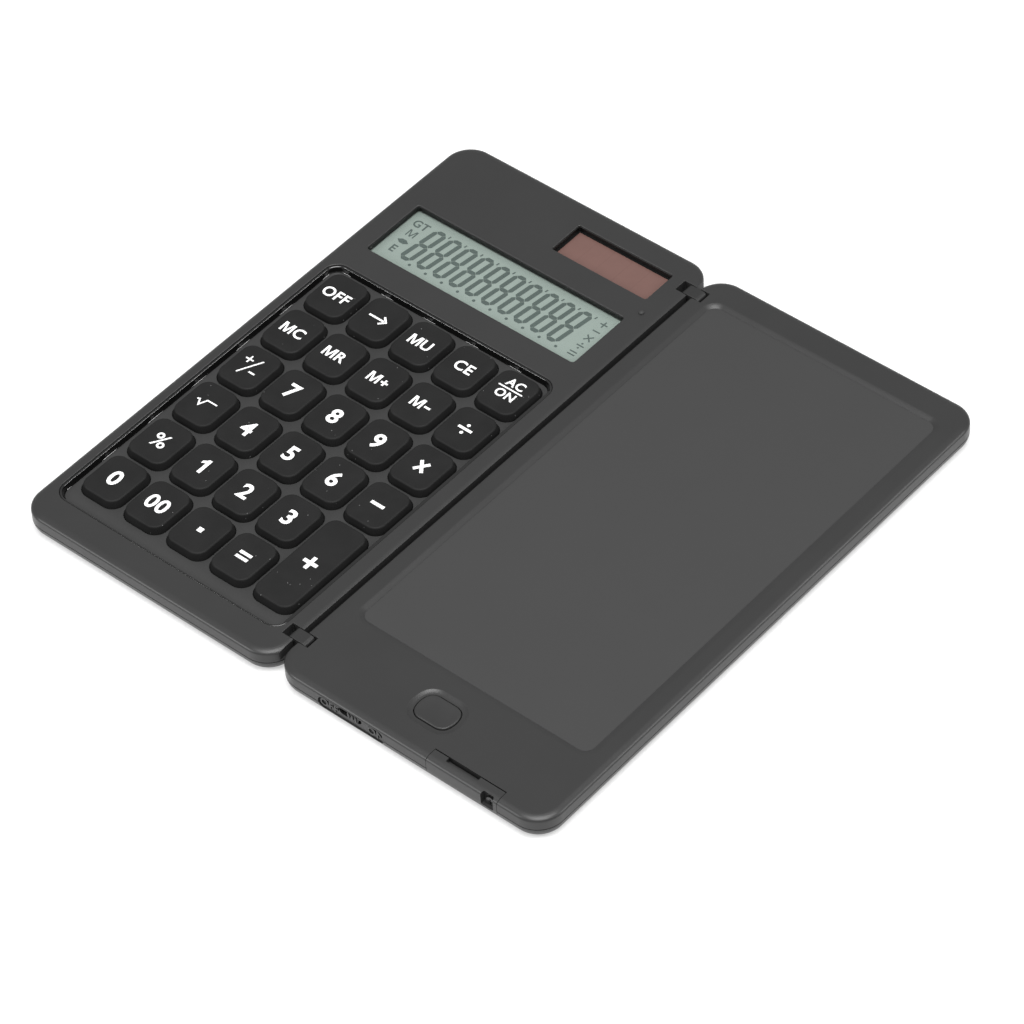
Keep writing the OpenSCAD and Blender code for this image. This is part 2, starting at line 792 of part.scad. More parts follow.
calc_top_case();
calc_bottom_case();
keypad_bezel();
keypad_web();
lcd_window();
lcd_panel();
lcd_connector();
solar_cell();
calc_circuit_board();
calc_button_cell();
calc_cell_door();
calc_case_screws();
calc_hinge_pins();
closing_bumper();
hinge_link_front();
hinge_link_rear();
tablet_top_case();
tablet_bottom_case();
writing_film();
film_backing();
tablet_circuit_board();
lock_switch_body();
erase_switch();
tablet_cell_contacts();
tablet_case_screws();
tablet_hinge_pins();
erase_button();
lock_slider();
battery_tray();
tablet_coin_cell();
tray_screw();
for (k = KEYS) key(k);
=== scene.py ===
"""Looks of a folding pocket calculator: a keypad half and a writing-tablet half on two hinge links.

Sizes are in millimetres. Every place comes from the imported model's boxes, and each piece is put into the
frame in metres, with its place in its mesh. A shape is a stack of rings: an outline drawn in by an inset at
each height of a profile, all worked out as arrays.
"""

from __future__ import annotations

import logging
import math
from dataclasses import dataclass
from enum import Enum
from typing import ClassVar

import bmesh
import bpy
import numpy as np
from mathutils import Matrix, Vector


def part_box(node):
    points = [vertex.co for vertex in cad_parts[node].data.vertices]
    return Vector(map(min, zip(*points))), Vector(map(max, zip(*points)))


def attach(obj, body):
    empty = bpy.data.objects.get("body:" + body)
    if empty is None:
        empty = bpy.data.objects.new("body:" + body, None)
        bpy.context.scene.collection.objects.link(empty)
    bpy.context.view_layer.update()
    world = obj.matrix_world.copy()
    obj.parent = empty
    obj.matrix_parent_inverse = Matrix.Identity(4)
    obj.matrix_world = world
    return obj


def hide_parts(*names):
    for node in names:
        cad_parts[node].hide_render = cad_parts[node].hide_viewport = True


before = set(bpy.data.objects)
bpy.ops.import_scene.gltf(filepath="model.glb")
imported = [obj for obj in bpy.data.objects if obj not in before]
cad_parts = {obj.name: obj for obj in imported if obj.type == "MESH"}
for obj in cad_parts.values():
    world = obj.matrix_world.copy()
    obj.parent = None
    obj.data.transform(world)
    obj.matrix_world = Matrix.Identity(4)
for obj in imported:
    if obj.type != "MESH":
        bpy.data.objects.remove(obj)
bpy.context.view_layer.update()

log = logging.getLogger("calculator")
MM = 0.001
MERGE = 1e-6  # points closer than this, in metres, are one point
CRISP = 0.01  # rounding of an edge that looks sharp
PAST = 1.0  # how far a cutting solid stands past the surface it cuts
LINKS = ("hinge_link_front", "hinge_link_rear")


# ---- places ----


@dataclass(frozen=True)
class Rect:
    """An upright rectangle in the plane of an outline, in millimetres."""

    u0: float
    v0: float
    u1: float
    v1: float

    def grown(self, by: float) -> Rect:
        """The rectangle moved out by the same distance on each side."""
        return Rect(self.u0 - by, self.v0 - by, self.u1 + by, self.v1 + by)

    @property
    def centre(self) -> tuple[float, float]:
        """The middle of the rectangle."""
        return (self.u0 + self.u1) / 2, (self.v0 + self.v1) / 2


@dataclass(frozen=True)
class CadBox:
    """The box of a node at rest, in millimetres."""

    x0: float
    y0: float
    z0: float
    x1: float
    y1: float
    z1: float

    @classmethod
    def of(cls, node: str) -> CadBox:
        """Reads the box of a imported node.

        Args:
            node: the node's name.

        Returns:
            Its box in millimetres.
        """
        low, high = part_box(node)
        return cls(*(value / MM for value in (*low, *high)))

    @property
    def plan(self) -> Rect:
        """The box seen from above."""
        return Rect(self.x0, self.y0, self.x1, self.y1)

    @property
    def face(self) -> Rect:
        """The box seen from the front, with height as the second coordinate."""
        return Rect(self.x0, self.z0, self.x1, self.z1)


class Plane(Enum):
    """The way a stack of outlines faces."""

    UP = "up"
    FRONT = "front"

    def place(self, u: np.ndarray, v: np.ndarray, w: np.ndarray) -> np.ndarray:
        """Turns outline coordinates and a height above the plane into points of the frame.

        Args:
            u: coordinate across.
            v: coordinate along the outline's second direction.
            w: height towards the viewer, up or to the front.

        Returns:
            Points with the three frame coordinates last.
        """
        if self is Plane.UP:
            return np.stack([u, v, w], axis=-1)
        return np.stack([u, -w, v], axis=-1)


# ---- surfaces ----


def weld(mesh: bpy.types.Mesh) -> None:
    """Merges points that fall together, such as where the arcs of a full circle meet.

    Args:
        mesh: the mesh that is changed.
    """
    work = bmesh.new()
    work.from_mesh(mesh)
    bmesh.ops.remove_doubles(work, verts=work.verts, dist=MERGE)
    work.to_mesh(mesh)
    work.free()
    mesh.update()


@dataclass
class Solid:
    """A closed surface: points in millimetres and faces that point outwards."""

    points: np.ndarray
    faces: list[list[int]]

    def __add__(self, other: Solid) -> Solid:
        """Both surfaces as one set of points and faces.

        Args:
            other: the surface that is added.

        Returns:
            The joined surfaces.
        """
        shift = len(self.points)
        moved = [[index + shift for index in face] for face in other.faces]
        return Solid(np.concatenate([self.points, other.points]), self.faces + moved)

    def to_object(self, name: str) -> bpy.types.Object:
        """Makes a mesh object at the origin with its place in its points.

        Args:
            name: the object's name.

        Returns:
            The linked object.
        """
        mesh = bpy.data.meshes.new(name)
        mesh.from_pydata((self.points * MM).tolist(), [], self.faces)
        weld(mesh)
        piece = bpy.data.objects.new(name, mesh)
        bpy.context.scene.collection.objects.link(piece)
        return piece


def rounded_outline(rect: Rect, radius: float, insets: np.ndarray, steps: int) -> np.ndarray:
    """Rounded rectangles, one for each inset, anticlockwise.

    A corner runs as centre + r (cos t, sin t) over a quarter turn, with r = radius - inset but never under
    a hundredth of a millimetre, and the centre r inside both drawn-in sides.

    Args:
        rect: the outermost rectangle.
        radius: corner radius at no inset.
        insets: how far each ring is drawn in.
        steps: chords in a corner.

    Returns:
        Array of rings, points and two coordinates.
    """
    inset = np.asarray(insets, float)[:, None]
    r = np.maximum(radius - inset, 0.01)
    quarter = np.linspace(0, math.pi / 2, steps + 1)
    turn = np.concatenate([quarter + k * math.pi / 2 for k in range(4)])[None, :]
    right = np.repeat([1, 0, 0, 1], steps + 1)[None, :]
    back = np.repeat([1, 1, 0, 0], steps + 1)[None, :]
    u = np.where(right == 1, rect.u1 - inset - r, rect.u0 + inset + r) + r * np.cos(turn)
    v = np.where(back == 1, rect.v1 - inset - r, rect.v0 + inset + r) + r * np.sin(turn)
    return np.stack([u, v], axis=-1)


def skin(rings: np.ndarray, closed: bool = False) -> Solid:
    """Joins neighbouring rings with quads, from the first, topmost ring outwards and down.

    Args:
        rings: array of rings, points and three coordinates.
        closed: True joins the last ring to the first, False caps both ends.

    Returns:
        The closed surface.
    """
    count, around, _ = rings.shape
    here = np.arange(count * around).reshape(count, around)
    beside = np.roll(here, -1, axis=1)
    rows = slice(None) if closed else slice(0, count - 1)
    below = np.roll(here, -1, axis=0)
    below_beside = np.roll(beside, -1, axis=0)
    quads = np.stack([here[rows], below[rows], below_beside[rows], beside[rows]], axis=-1)
    faces = quads.reshape(-1, 4).tolist()
    if not closed:
        faces += [here[0].tolist(), here[-1][::-1].tolist()]
    return Solid(rings.reshape(-1, 3), faces)


Profile = list[tuple[float, float]]


def ring_stack(
    rect: Rect,
    radius: float,
    profile: Profile,
    plane: Plane = Plane.UP,
    steps: int = 12,
    closed: bool = False,
) -> Solid:
    """A profile of (inset, height) pairs carried round a rounded rectangle.

    Args:
        rect: the rectangle at no inset.
        radius: its corner radius.
        profile: pairs from the highest middle outwards and down.
        plane: the way the outline faces.
        steps: chords in a corner.
        closed: True for a profile that closes on itself.

    Returns:
        The closed surface.
    """
    pairs = np.asarray(profile, float)
    flat = rounded_outline(rect, radius, pairs[:, 0], steps)
    height = np.broadcast_to(pairs[:, 1, None], flat.shape[:2])
    return skin(plane.place(flat[..., 0], flat[..., 1], height), closed)


def arc(
    at: tuple[float, float], reach: tuple[float, float], start: float, end: float, steps: int
) -> Profile:
    """Points of an ellipse: at + (reach_0 cos a, reach_1 sin a), for a from start to end degrees.

    Args:
        at: centre of the ellipse.
        reach: its two half axes.
        start: first angle in degrees.
        end: last angle in degrees.
        steps: number of chords.

    Returns:
        The profile points.
    """
    angle = np.radians(np.linspace(start, end, steps + 1))
    return list(zip(at[0] + reach[0] * np.cos(angle), at[1] + reach[1] * np.sin(angle)))


def slab(rect: Rect, low: float, high: float, radius: float, edge: float, plane: Plane = Plane.UP) -> Solid:
    """A plate with rounded corners and a small round along its upper and lower edges.

    Args:
        rect: its outline.
        low: height of its underside.
        high: height of its top.
        radius: corner radius.
        edge: radius of the edge rounding.
        plane: the way the plate faces.

    Returns:
        The closed surface.
    """
    profile = arc((edge, high - edge), (-edge, edge), 90, 0, 4) + arc((edge, low + edge), (-edge, -edge), 0, 90, 4)
    return ring_stack(rect, radius, profile, plane, steps=8)


def opening(rect: Rect, low: float, high: float, radius: float, lip: float, plane: Plane = Plane.UP) -> Solid:
    """The solid that cuts an opening whose upper edge is rounded: it flares by a quarter circle at high.

    Args:
        rect: outline of the opening.
        low: depth that the cut reaches.
        high: height of the surface it is cut from.
        radius: corner radius.
        lip: radius of the rounded edge.
        plane: the way the opening faces.

    Returns:
        The closed surface.
    """
    flare = arc((-lip, high - lip), (lip, lip), 90, 0, 5)
    return ring_stack(rect, radius, [(-lip, high + PAST), *flare, (0, low)], plane)


class Mix(Enum):
    """How a tool solid changes a piece."""

    CUT = "DIFFERENCE"
    ADD = "UNION"
    KEEP = "INTERSECT"


def carve(piece: bpy.types.Object, steps: list[tuple[Mix, Solid]]) -> None:
    """Adds and cuts solids on a piece in order, and keeps the result as its mesh.

    Args:
        piece: the object that is worked on.
        steps: what to do, with which solid.
    """
    tools = []
    for how, solid in steps:
        tool = solid.to_object("tool")
        tools.append(tool)
        step = piece.modifiers.new("carve", "BOOLEAN")
        step.operation = how.value
        step.solver = "EXACT"
        step.object = tool
    graph = bpy.context.evaluated_depsgraph_get()
    result = bpy.data.meshes.new_from_object(piece.evaluated_get(graph))
    piece.modifiers.clear()
    old = piece.data
    piece.data = result
    result.name = piece.name
    bpy.data.meshes.remove(old)
    for tool in tools:
        mesh = tool.data
        bpy.data.objects.remove(tool)
        bpy.data.meshes.remove(mesh)


# ---- finishes ----


class Nodes:
    """A shorthand for building one material's node tree."""

    def __init__(self, material: bpy.types.Material) -> None:
        """Clears the tree and adds the surface shader.

        Args:
            material: the material whose tree is built.
        """
        material.use_nodes = True
        self.tree = material.node_tree
        self.tree.nodes.clear()
        self.shader = self.add("ShaderNodeBsdfPrincipled")
        out = self.add("ShaderNodeOutputMaterial")
        self.link(self.shader.outputs["BSDF"], out.inputs["Surface"])
        self.place = self.add("ShaderNodeTexCoord").outputs["Object"]

    @staticmethod
    def surface(material: bpy.types.Material) -> bpy.types.Node:
        """The surface shader of a finished material."""
        return next(node for node in material.node_tree.nodes if node.type == "BSDF_PRINCIPLED")

    def add(self, kind: str, **values: object) -> bpy.types.Node:
        """Adds a node and sets the named properties on it.

        Args:
            kind: the node's type.
            **values: its properties.

        Returns:
            The new node.
        """
        node = self.tree.nodes.new(kind)
        for name, value in values.items():
            setattr(node, name, value)
        return node

    def link(self, source: bpy.types.NodeSocket, target: bpy.types.NodeSocket) -> None:
        """Joins two sockets."""
        self.tree.links.new(source, target)

    def noise(self, size: float, detail: float = 2.0, seed: float = 0.0) -> bpy.types.NodeSocket:
        """Noise whose features are about size millimetres across.

        Args:
            size: feature size in millimetres.
            detail: octaves of finer noise.
            seed: fourth coordinate, so that two noises differ.

        Returns:
            The factor output.
        """
        node = self.add("ShaderNodeTexNoise", noise_dimensions="4D")
        node.inputs["Scale"].default_value = 1 / (size * MM)
        node.inputs["Detail"].default_value = detail
        node.inputs["W"].default_value = seed
        self.link(self.place, node.inputs["Vector"])
        return node.outputs[0]

    def ranged(self, value: bpy.types.NodeSocket, low: float, high: float, start: float = 0.35,
               end: float = 0.65) -> bpy.types.NodeSocket:
        """Stretches the middle of a value's span to low .. high.

        Args:
            value: the output that is stretched.
            low: result at start.
            high: result at end.
            start: lower end of the span.
            end: upper end of the span.

        Returns:
            The stretched value.
        """
        node = self.add("ShaderNodeMapRange")
        for name, number in (("From Min", start), ("From Max", end), ("To Min", low), ("To Max", high)):
            node.inputs[name].default_value = number
        self.link(value, node.inputs["Value"])
        return node.outputs["Result"]

    def math(self, operation: str, first: bpy.types.NodeSocket, second: bpy.types.NodeSocket | float
             ) -> bpy.types.NodeSocket:
        """One arithmetic step.

        Args:
            operation: what is done.
            first: the first value.
            second: the second value, an output or a number.

        Returns:
            The result.
        """
        node = self.add("ShaderNodeMath", operation=operation)
        self.link(first, node.inputs[0])
        if isinstance(second, (int, float)):
            node.inputs[1].default_value = second
        else:
            self.link(second, node.inputs[1])
        return node.outputs[0]

    def mixed(self, factor: bpy.types.NodeSocket, first: Colour | bpy.types.NodeSocket,
              second: Colour | bpy.types.NodeSocket) -> bpy.types.NodeSocket:
        """Mixes two colours.

        Args:
            factor: share of the second colour.
            first: a colour or an output.
            second: a colour or an output.

        Returns:
            The mixed colour.
        """
        node = self.add("ShaderNodeMix", data_type="RGBA")
        self.link(factor, node.inputs["Factor"])
        for socket, value in ((node.inputs[6], first), (node.inputs[7], second)):
            if isinstance(value, tuple):
                socket.default_value = (*value, 1)
            else:
                self.link(value, socket)
        return node.outputs[2]


Colour = tuple[float, float, float]


def grey(value: float) -> Colour:
    """A neutral colour."""
    return (value, value, value)


@dataclass(frozen=True)
class Finish:
    """A moulded, painted or metal surface: colour with slow mottling, uneven gloss and a fine grain."""

    name: str
    slot: str
    colour: Colour
    roughness: float = 0.5
    spread: float = 0.05
    specular: float = 0.5
    metallic: float = 0.0
    coat: float = 0.0
    grain: float = 0.3
    depth: float = 0.0
    mottle: float = 0.08
    mottle_size: float = 14.0
    dust: float = 0.0
    alpha: float = 1.0

    def material(self) -> bpy.types.Material:
        """Makes the finish's material at its first use.

        Returns:
            The material.
        """
        made = bpy.data.materials.get(self.name)
        if made:
            return made
        made = bpy.data.materials.new(self.name)
        nodes = Nodes(made)
        shader = nodes.shader
        for socket, value in (("Metallic", self.metallic), ("Specular IOR Level", self.specular),
                              ("Coat Weight", self.coat), ("Coat Roughness", 0.08), ("Alpha", self.alpha)):
            shader.inputs[socket].default_value = value
        nodes.link(self.paint(nodes), shader.inputs["Base Color"])
        gloss = nodes.ranged(nodes.noise(9, 3, 4), self.roughness - self.spread, self.roughness + self.spread)
        nodes.link(gloss, shader.inputs["Roughness"])
        if self.depth:
            bump = nodes.add("ShaderNodeBump")
            bump.inputs["Distance"].default_value = self.depth * MM
            nodes.link(nodes.noise(self.grain, 2, 1), bump.inputs["Height"])
            nodes.link(bump.outputs["Normal"], shader.inputs["Normal"])
        return made

    def paint(self, nodes: Nodes) -> bpy.types.NodeSocket:
        """The colour over the surface: two near tones mixed by slow noise, with sparse pale dust.

        Args:
            nodes: the tree that it is added to.

        Returns:
            The colour output.
        """
        dark = tuple(c * (1 - self.mottle) for c in self.colour)
        light = tuple(c * (1 + self.mottle) for c in self.colour)
        tone = nodes.mixed(nodes.ranged(nodes.noise(self.mottle_size, 4, 2), 0, 1), dark, light)
        if not self.dust:
            return tone
        cells = nodes.add("ShaderNodeTexVoronoi")
        cells.inputs["Scale"].default_value = 1 / (0.8 * MM)
        nodes.link(nodes.place, cells.inputs["Vector"])
        split = nodes.add("ShaderNodeSeparateColor")
        nodes.link(cells.outputs["Color"], split.inputs["Color"])
        chosen = nodes.math("LESS_THAN", split.outputs[0], self.dust)
        near = nodes.math("LESS_THAN", cells.outputs["Distance"], 0.13)
        return nodes.mixed(nodes.math("MULTIPLY", chosen, near), tone, grey(0.16))


@dataclass(frozen=True)
class SolarFinish(Finish):
    """Amorphous cell under glass: a dark border and brown strips parted by faint dark lines."""

    area: Rect = Rect(0, 0, 1, 1)
    border: float = 0.7
    strips: int = 5

    def paint(self, nodes: Nodes) -> bpy.types.NodeSocket:
        """Brown inside the border by distance from the middle, and lines where a strip's share wraps.

        Args:
            nodes: the tree that it is added to.

        Returns:
            The colour output.
        """
        split = nodes.add("ShaderNodeSeparateXYZ")
        nodes.link(nodes.place, split.inputs[0])
        inside = None
        middle = self.area.centre
        halves = ((self.area.u1 - self.area.u0) / 2, (self.area.v1 - self.area.v0) / 2)
        for axis in range(2):
            away = nodes.math("ABSOLUTE", nodes.math("SUBTRACT", split.outputs[axis], middle[axis] * MM), 0)
            near = nodes.math("LESS_THAN", away, (halves[axis] - self.border) * MM)
            inside = near if inside is None else nodes.math("MULTIPLY", inside, near)
        pitch = 2 * (halves[0] - self.border) / self.strips
        start = middle[0] - halves[0] + self.border
        share = nodes.math("DIVIDE", nodes.math("SUBTRACT", split.outputs[0], start * MM), pitch * MM)
        line = nodes.math("LESS_THAN", nodes.math("FRACT", share, 0), 0.018)
        darker = tuple(c * 0.86 for c in self.colour)
        brown = nodes.mixed(nodes.ranged(nodes.noise(4, 3, 2), 0, 1), self.colour, tuple(c * 1.06 for c in self.colour))
        return nodes.mixed(inside, grey(0.006), nodes.mixed(line, brown, darker))


CASE = Finish("case_charcoal", "case_plastic", grey(0.0245), 0.37, 0.01, 0.42, grain=0.28, depth=0.0035, mottle=0.03)
BEZEL = Finish("bezel_gloss", "gloss_bezel", grey(0.004), 0.07, 0.01, 0.7, coat=0.5, mottle=0.1)
SHEET = Finish("sheet_satin", "keypad_sheet", grey(0.031), 0.42, 0.02, 0.42, grain=0.35, depth=0.002, mottle=0.04)
RUBBER = Finish("key_soft_black", "key_rubber", grey(0.0095), 0.62, 0.03, 0.2, grain=0.3, depth=0.005, mottle=0.12,
                mottle_size=5, dust=0.035)
INK = Finish("legend_white", "legend_ink", grey(0.82), 0.5, 0.02, 0.3, grain=0.12, depth=0.002, mottle=0.03)
WINDOW = Finish("window_clear", "clear_window", (0.3, 0.34, 0.3), 0.06, 0.01, 0.5, alpha=0.08, mottle=0.02)
DISPLAY = Finish("display_green", "display_glass", (0.225, 0.275, 0.252), 0.3, 0.01, 0.4, mottle=0.02, mottle_size=25)
SEGMENT = Finish("display_segment", "display_ink", (0.03, 0.05, 0.048), 0.35, 0.02, 0.4, mottle=0.05)
LINK = Finish("link_satin", "link_plastic", grey(0.018), 0.45, 0.02, 0.4, grain=0.25, depth=0.003)
FILM = Finish("film_satin", "writing_film", grey(0.033), 0.42, 0.006, 0.5, grain=0.22, depth=0.001, mottle=0.015,
              mottle_size=30)
BUTTON = Finish("button_satin", "button_plastic", grey(0.023), 0.42, 0.015, 0.42, grain=0.25, depth=0.002)
INNER = Finish("inner_dark", "inner_plastic", grey(0.05), 0.55, 0.03, 0.4, grain=0.4, depth=0.003)
BUMPER = Finish("bumper_black", "bumper_rubber", grey(0.03), 0.6, 0.03, 0.35, grain=0.2, depth=0.003)
STEEL = Finish("nickel_plated", "nickel_steel", grey(0.5), 0.3, 0.05, 0.5, 1.0, grain=0.15, depth=0.002)
BLACKENED = Finish("blackened_screw", "nickel_steel", grey(0.1), 0.35, 0.05, 0.5, 1.0, grain=0.15, depth=0.002)
# painted shade: near-black matte finish for the linings that darken the window walls
WALL_SHADE = Finish("window_wall_painted_shade", "gloss_bezel", grey(0.003), 0.4, 0.02, 0.25, grain=0.2, depth=0.001)
KNOB = Finish("slider_black", "button_plastic", grey(0.007), 0.32, 0.02, 0.45, grain=0.2, depth=0.001)
BRASS = Finish("spring_brass", "contact_brass", (0.72, 0.55, 0.26), 0.3, 0.06, 0.5, 1.0, grain=0.2, depth=0.001)
BOARD = Finish("board_green", "circuit_board", (0.03, 0.16, 0.07), 0.35, 0.06, 0.5, grain=0.5, depth=0.003,
               mottle=0.25, mottle_size=3)
STRIPE = Finish("connector_grey", "connector_rubber", (0.5, 0.36, 0.36), 0.6, 0.05, 0.3, grain=0.3, depth=0.003)

# nodes that are shown as they are packed, with their finish
PACKED: dict[str, Finish] = {
    "lcd_connector": STRIPE,
    "calc_circuit_board": BOARD,
    "calc_button_cell": STEEL,
    "calc_case_screws": STEEL,
    "calc_hinge_pins": STEEL,
    "film_backing": INNER,
    "tablet_circuit_board": BOARD,
    "lock_switch_body": INNER,
    "erase_switch": STEEL,
    "tablet_cell_contacts": BRASS,
    "tablet_case_screws": STEEL,
    "tablet_hinge_pins": STEEL,
    "tray_screw": BLACKENED,
}


def install(piece: bpy.types.Object, finish: Finish, body: str, stands_for: str | None = None,
            sharp: float = 32) -> bpy.types.Object:
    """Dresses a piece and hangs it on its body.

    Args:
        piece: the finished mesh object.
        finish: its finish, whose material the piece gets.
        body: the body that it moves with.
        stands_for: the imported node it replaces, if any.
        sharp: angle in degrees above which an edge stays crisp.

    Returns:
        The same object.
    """
    mesh = piece.data
    mesh.materials.clear()
    mesh.materials.append(finish.material())
    mesh.shade_smooth()
    mesh.set_sharp_from_angle(angle=math.radians(sharp))
    even = piece.modifiers.new("even_normals", "WEIGHTED_NORMAL")
    even.keep_sharp = True
    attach(piece, body)
    if stands_for:
        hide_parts(stands_for)
    log.info("%s: %d faces, on %s", piece.name, len(mesh.polygons), body)
    return piece


def dress_packed() -> None:
    """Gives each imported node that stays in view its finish."""
    for name, finish in PACKED.items():
        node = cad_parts[name]
        node.data.materials.clear()
        node.data.materials.append(finish.material())
        log.info("%s keeps its packed shape, in %s", name, finish.name)


# ---- lettering ----


@dataclass(frozen=True)
class Word:
    """Letters of the built-in font made into a thin solid."""

    body: str
    height: float
    at: tuple[float, float] = (0.0, 0.0)
    bold: float = 0.09
    stretch: float = 1.0
    CAP_HEIGHT: ClassVar[float] = 0.682

    def solid(self, centre: tuple[float, float], low: float, high: float, plane: Plane = Plane.UP) -> Solid:
        """Sets the word round a point.

        Args:
            centre: middle of the legend that it belongs to.
            low: height of its underside.
            high: height of its top.
            plane: the way it faces.

        Returns:
            The letters as closed surfaces.
        """
        curve = bpy.data.curves.new("word", "FONT")
        curve.body = self.body
        curve.size = (self.height - 2 * self.bold) / self.CAP_HEIGHT
        curve.offset = self.bold
        curve.extrude = (high - low) / 2
        curve.space_character = 1 + 1.6 * self.bold / curve.size * 2
        curve.resolution_u = 6
        carrier = bpy.data.objects.new("word", curve)
        bpy.context.scene.collection.objects.link(carrier)
        bpy.context.view_layer.update()
        graph = bpy.context.evaluated_depsgraph_get()
        mesh = bpy.data.meshes.new_from_object(carrier.evaluated_get(graph))
        work = bmesh.new()
        work.from_mesh(mesh)
        bmesh.ops.remove_doubles(work, verts=work.verts, dist=1e-5)
        bmesh.ops.recalc_face_normals(work, faces=work.faces)
        work.to_mesh(mesh)
        work.free()
        points = np.zeros(len(mesh.vertices) * 3)
        mesh.vertices.foreach_get("co", points)
        points = points.reshape(-1, 3)
        faces = [list(face.vertices) for face in mesh.polygons]
        bpy.data.objects.remove(carrier)
        bpy.data.curves.remove(curve)
        bpy.data.meshes.remove(mesh)
        middle = (points.min(0) + points.max(0)) / 2
        u = (points[:, 0] - middle[0]) * self.stretch + centre[0] + self.at[0]
        v = points[:, 1] - middle[1] + centre[1] + self.at[1]
        return Solid(plane.place(u, v, points[:, 2] + (low + high) / 2), faces)


def prisms(outlines: np.ndarray, low: float, high: float, plane: Plane = Plane.UP) -> Solid:
    """Thin upright solids on anticlockwise outlines.

    Args:
        outlines: array of outlines, corners and two coordinates.
        low: height of the undersides.
        high: height of the tops.
        plane: the way they face.

    Returns:
        All of them as one set of closed surfaces.
    """
    made = Solid(np.zeros((0, 3)), [])
    for outline in outlines:
        pair = np.stack([np.column_stack([outline, np.full(len(outline), level)]) for level in (high, low)])
        made = made + skin(plane.place(pair[..., 0], pair[..., 1], pair[..., 2]))
    return made


@dataclass(frozen=True)
class Stroke:
    """A line of even width through some points, with mitred bends."""

    points: tuple[tuple[float, float], ...]
    width: float

    def solid(self, centre: tuple[float, float], low: float, high: float, plane: Plane = Plane.UP) -> Solid:
        """Sets the stroke round a point: each side is the line moved by half the width, mitred at its bends.

        Args:
            centre: middle of the legend that it belongs to.
            low: height of its underside.
            high: height of its top.
            plane: the way it faces.

        Returns:
            The closed surface.
        """
        line = np.asarray(self.points, float) + centre
        step = np.diff(line, axis=0)
        step /= np.linalg.norm(step, axis=1)[:, None]
        before = np.vstack([step[:1], step])
        after = np.vstack([step, step[-1:]])
        across = np.column_stack([-(before + after)[:, 1], (before + after)[:, 0]])
        across /= np.linalg.norm(across, axis=1)[:, None]
        stretch = np.sum(across * np.column_stack([-before[:, 1], before[:, 0]]), axis=1)
        side = across / stretch[:, None] * self.width / 2
        outline = np.vstack([line - side, (line + side)[::-1]])
        return prisms(outline[None], low, high, plane)


@dataclass(frozen=True)
class Dot:
    """A round or square dot."""

    at: tuple[float, float]
    size: float
    corners: int = 20

    def solid(self, centre: tuple[float, float], low: float, high: float, plane: Plane = Plane.UP) -> Solid:
        """Sets the dot round a point, as a regular outline whose corners lie on a circle.

        Args:
            centre: middle of the legend that it belongs to.
            low: height of its underside.
            high: height of its top.
            plane: the way it faces.

        Returns:
            The closed surface.
        """
        turn = (np.arange(self.corners) + 0.5) * 2 * math.pi / self.corners
        radius = self.size / 2 / math.cos(math.pi / self.corners)
        outline = np.column_stack([np.cos(turn), np.sin(turn)]) * radius + self.at + np.asarray(centre)
        return prisms(outline[None], low, high, plane)


@dataclass(frozen=True)
class Shape:
    """A free outline, anticlockwise, turned about its own origin and moved."""

    points: tuple[tuple[float, float], ...]
    at: tuple[float, float] = (0.0, 0.0)
    turn: float = 0.0

    def solid(self, centre: tuple[float, float], low: float, high: float, plane: Plane = Plane.UP) -> Solid:
        """Sets the outline round a point: rotated by the turn in degrees, then shifted.

        Args:
            centre: middle of the legend that it belongs to.
            low: height of its underside.
            high: height of its top.
            plane: the way it faces.

        Returns:
            The closed surface.
        """
        c, s = math.cos(math.radians(self.turn)), math.sin(math.radians(self.turn))
        outline = np.asarray(self.points, float) @ np.array([[c, s], [-s, c]]) + self.at + np.asarray(centre)
        return prisms(outline[None], low, high, plane)


Mark = Word | Stroke | Dot | Shape


def bar(at: tuple[float, float], length: float, width: float, turn: float = 0) -> Stroke:
    """A straight stroke.

    Args:
        at: its middle.
        length: its length.
        width: its width.
        turn: its angle in degrees.

    Returns:
        The stroke.
    """
    half = length / 2 * np.array([math.cos(math.radians(turn)), math.sin(math.radians(turn))])
    start, end = np.asarray(at) - half, np.asarray(at) + half
    return Stroke((tuple(start), tuple(end)), width)


def cross(at: tuple[float, float], length: float, width: float, lean: float = 90, turn: float = 0) -> Shape:
    """Two equal bars that cross, as one outline.

    The corners are where the edges of the bars meet and the bars' ends, with the second bar turned by lean
    from the first.

    Args:
        at: where they cross.
        length: length of each bar.
        width: width of each bar.
        lean: angle between the bars in degrees.
        turn: angle of the first bar in degrees.

    Returns:
        The twelve-cornered outline.
    """
    angle = np.radians([0, lean, 180, 180 + lean])
    along = np.column_stack([np.cos(angle), np.sin(angle)])
    side = np.column_stack([-along[:, 1], along[:, 0]]) * width / 2
    ends = along * length / 2
    nxt = np.roll(along, -1, axis=0)
    sharp = np.sum(np.column_stack([-along[:, 1], along[:, 0]]) * nxt, axis=1)
    notch = (along + nxt) * (width / 2 / sharp)[:, None]
    outline = np.stack([ends - side, ends + side, notch], axis=1).reshape(-1, 2)
    return Shape(tuple(map(tuple, outline)), at, turn)


def letter_m(height: float, at: tuple[float, float], pen: float) -> Shape:
    """A capital M whose inner strokes meet on the base line.

    Args:
        height: its height.
        at: its middle.
        pen: width of its strokes.

    Returns:
        The outline.
    """
    b = height / 2
    a = b * 1.04
    right = ((pen / 2, -b), (a - pen, b * 0.62), (a - pen, -b), (a, -b), (a, b), (a - 1.5 * pen, b))
    left = tuple((-u, v) for u, v in right[::-1])
    return Shape((*right, (0.0, 1.5 * pen - b), *left), at)


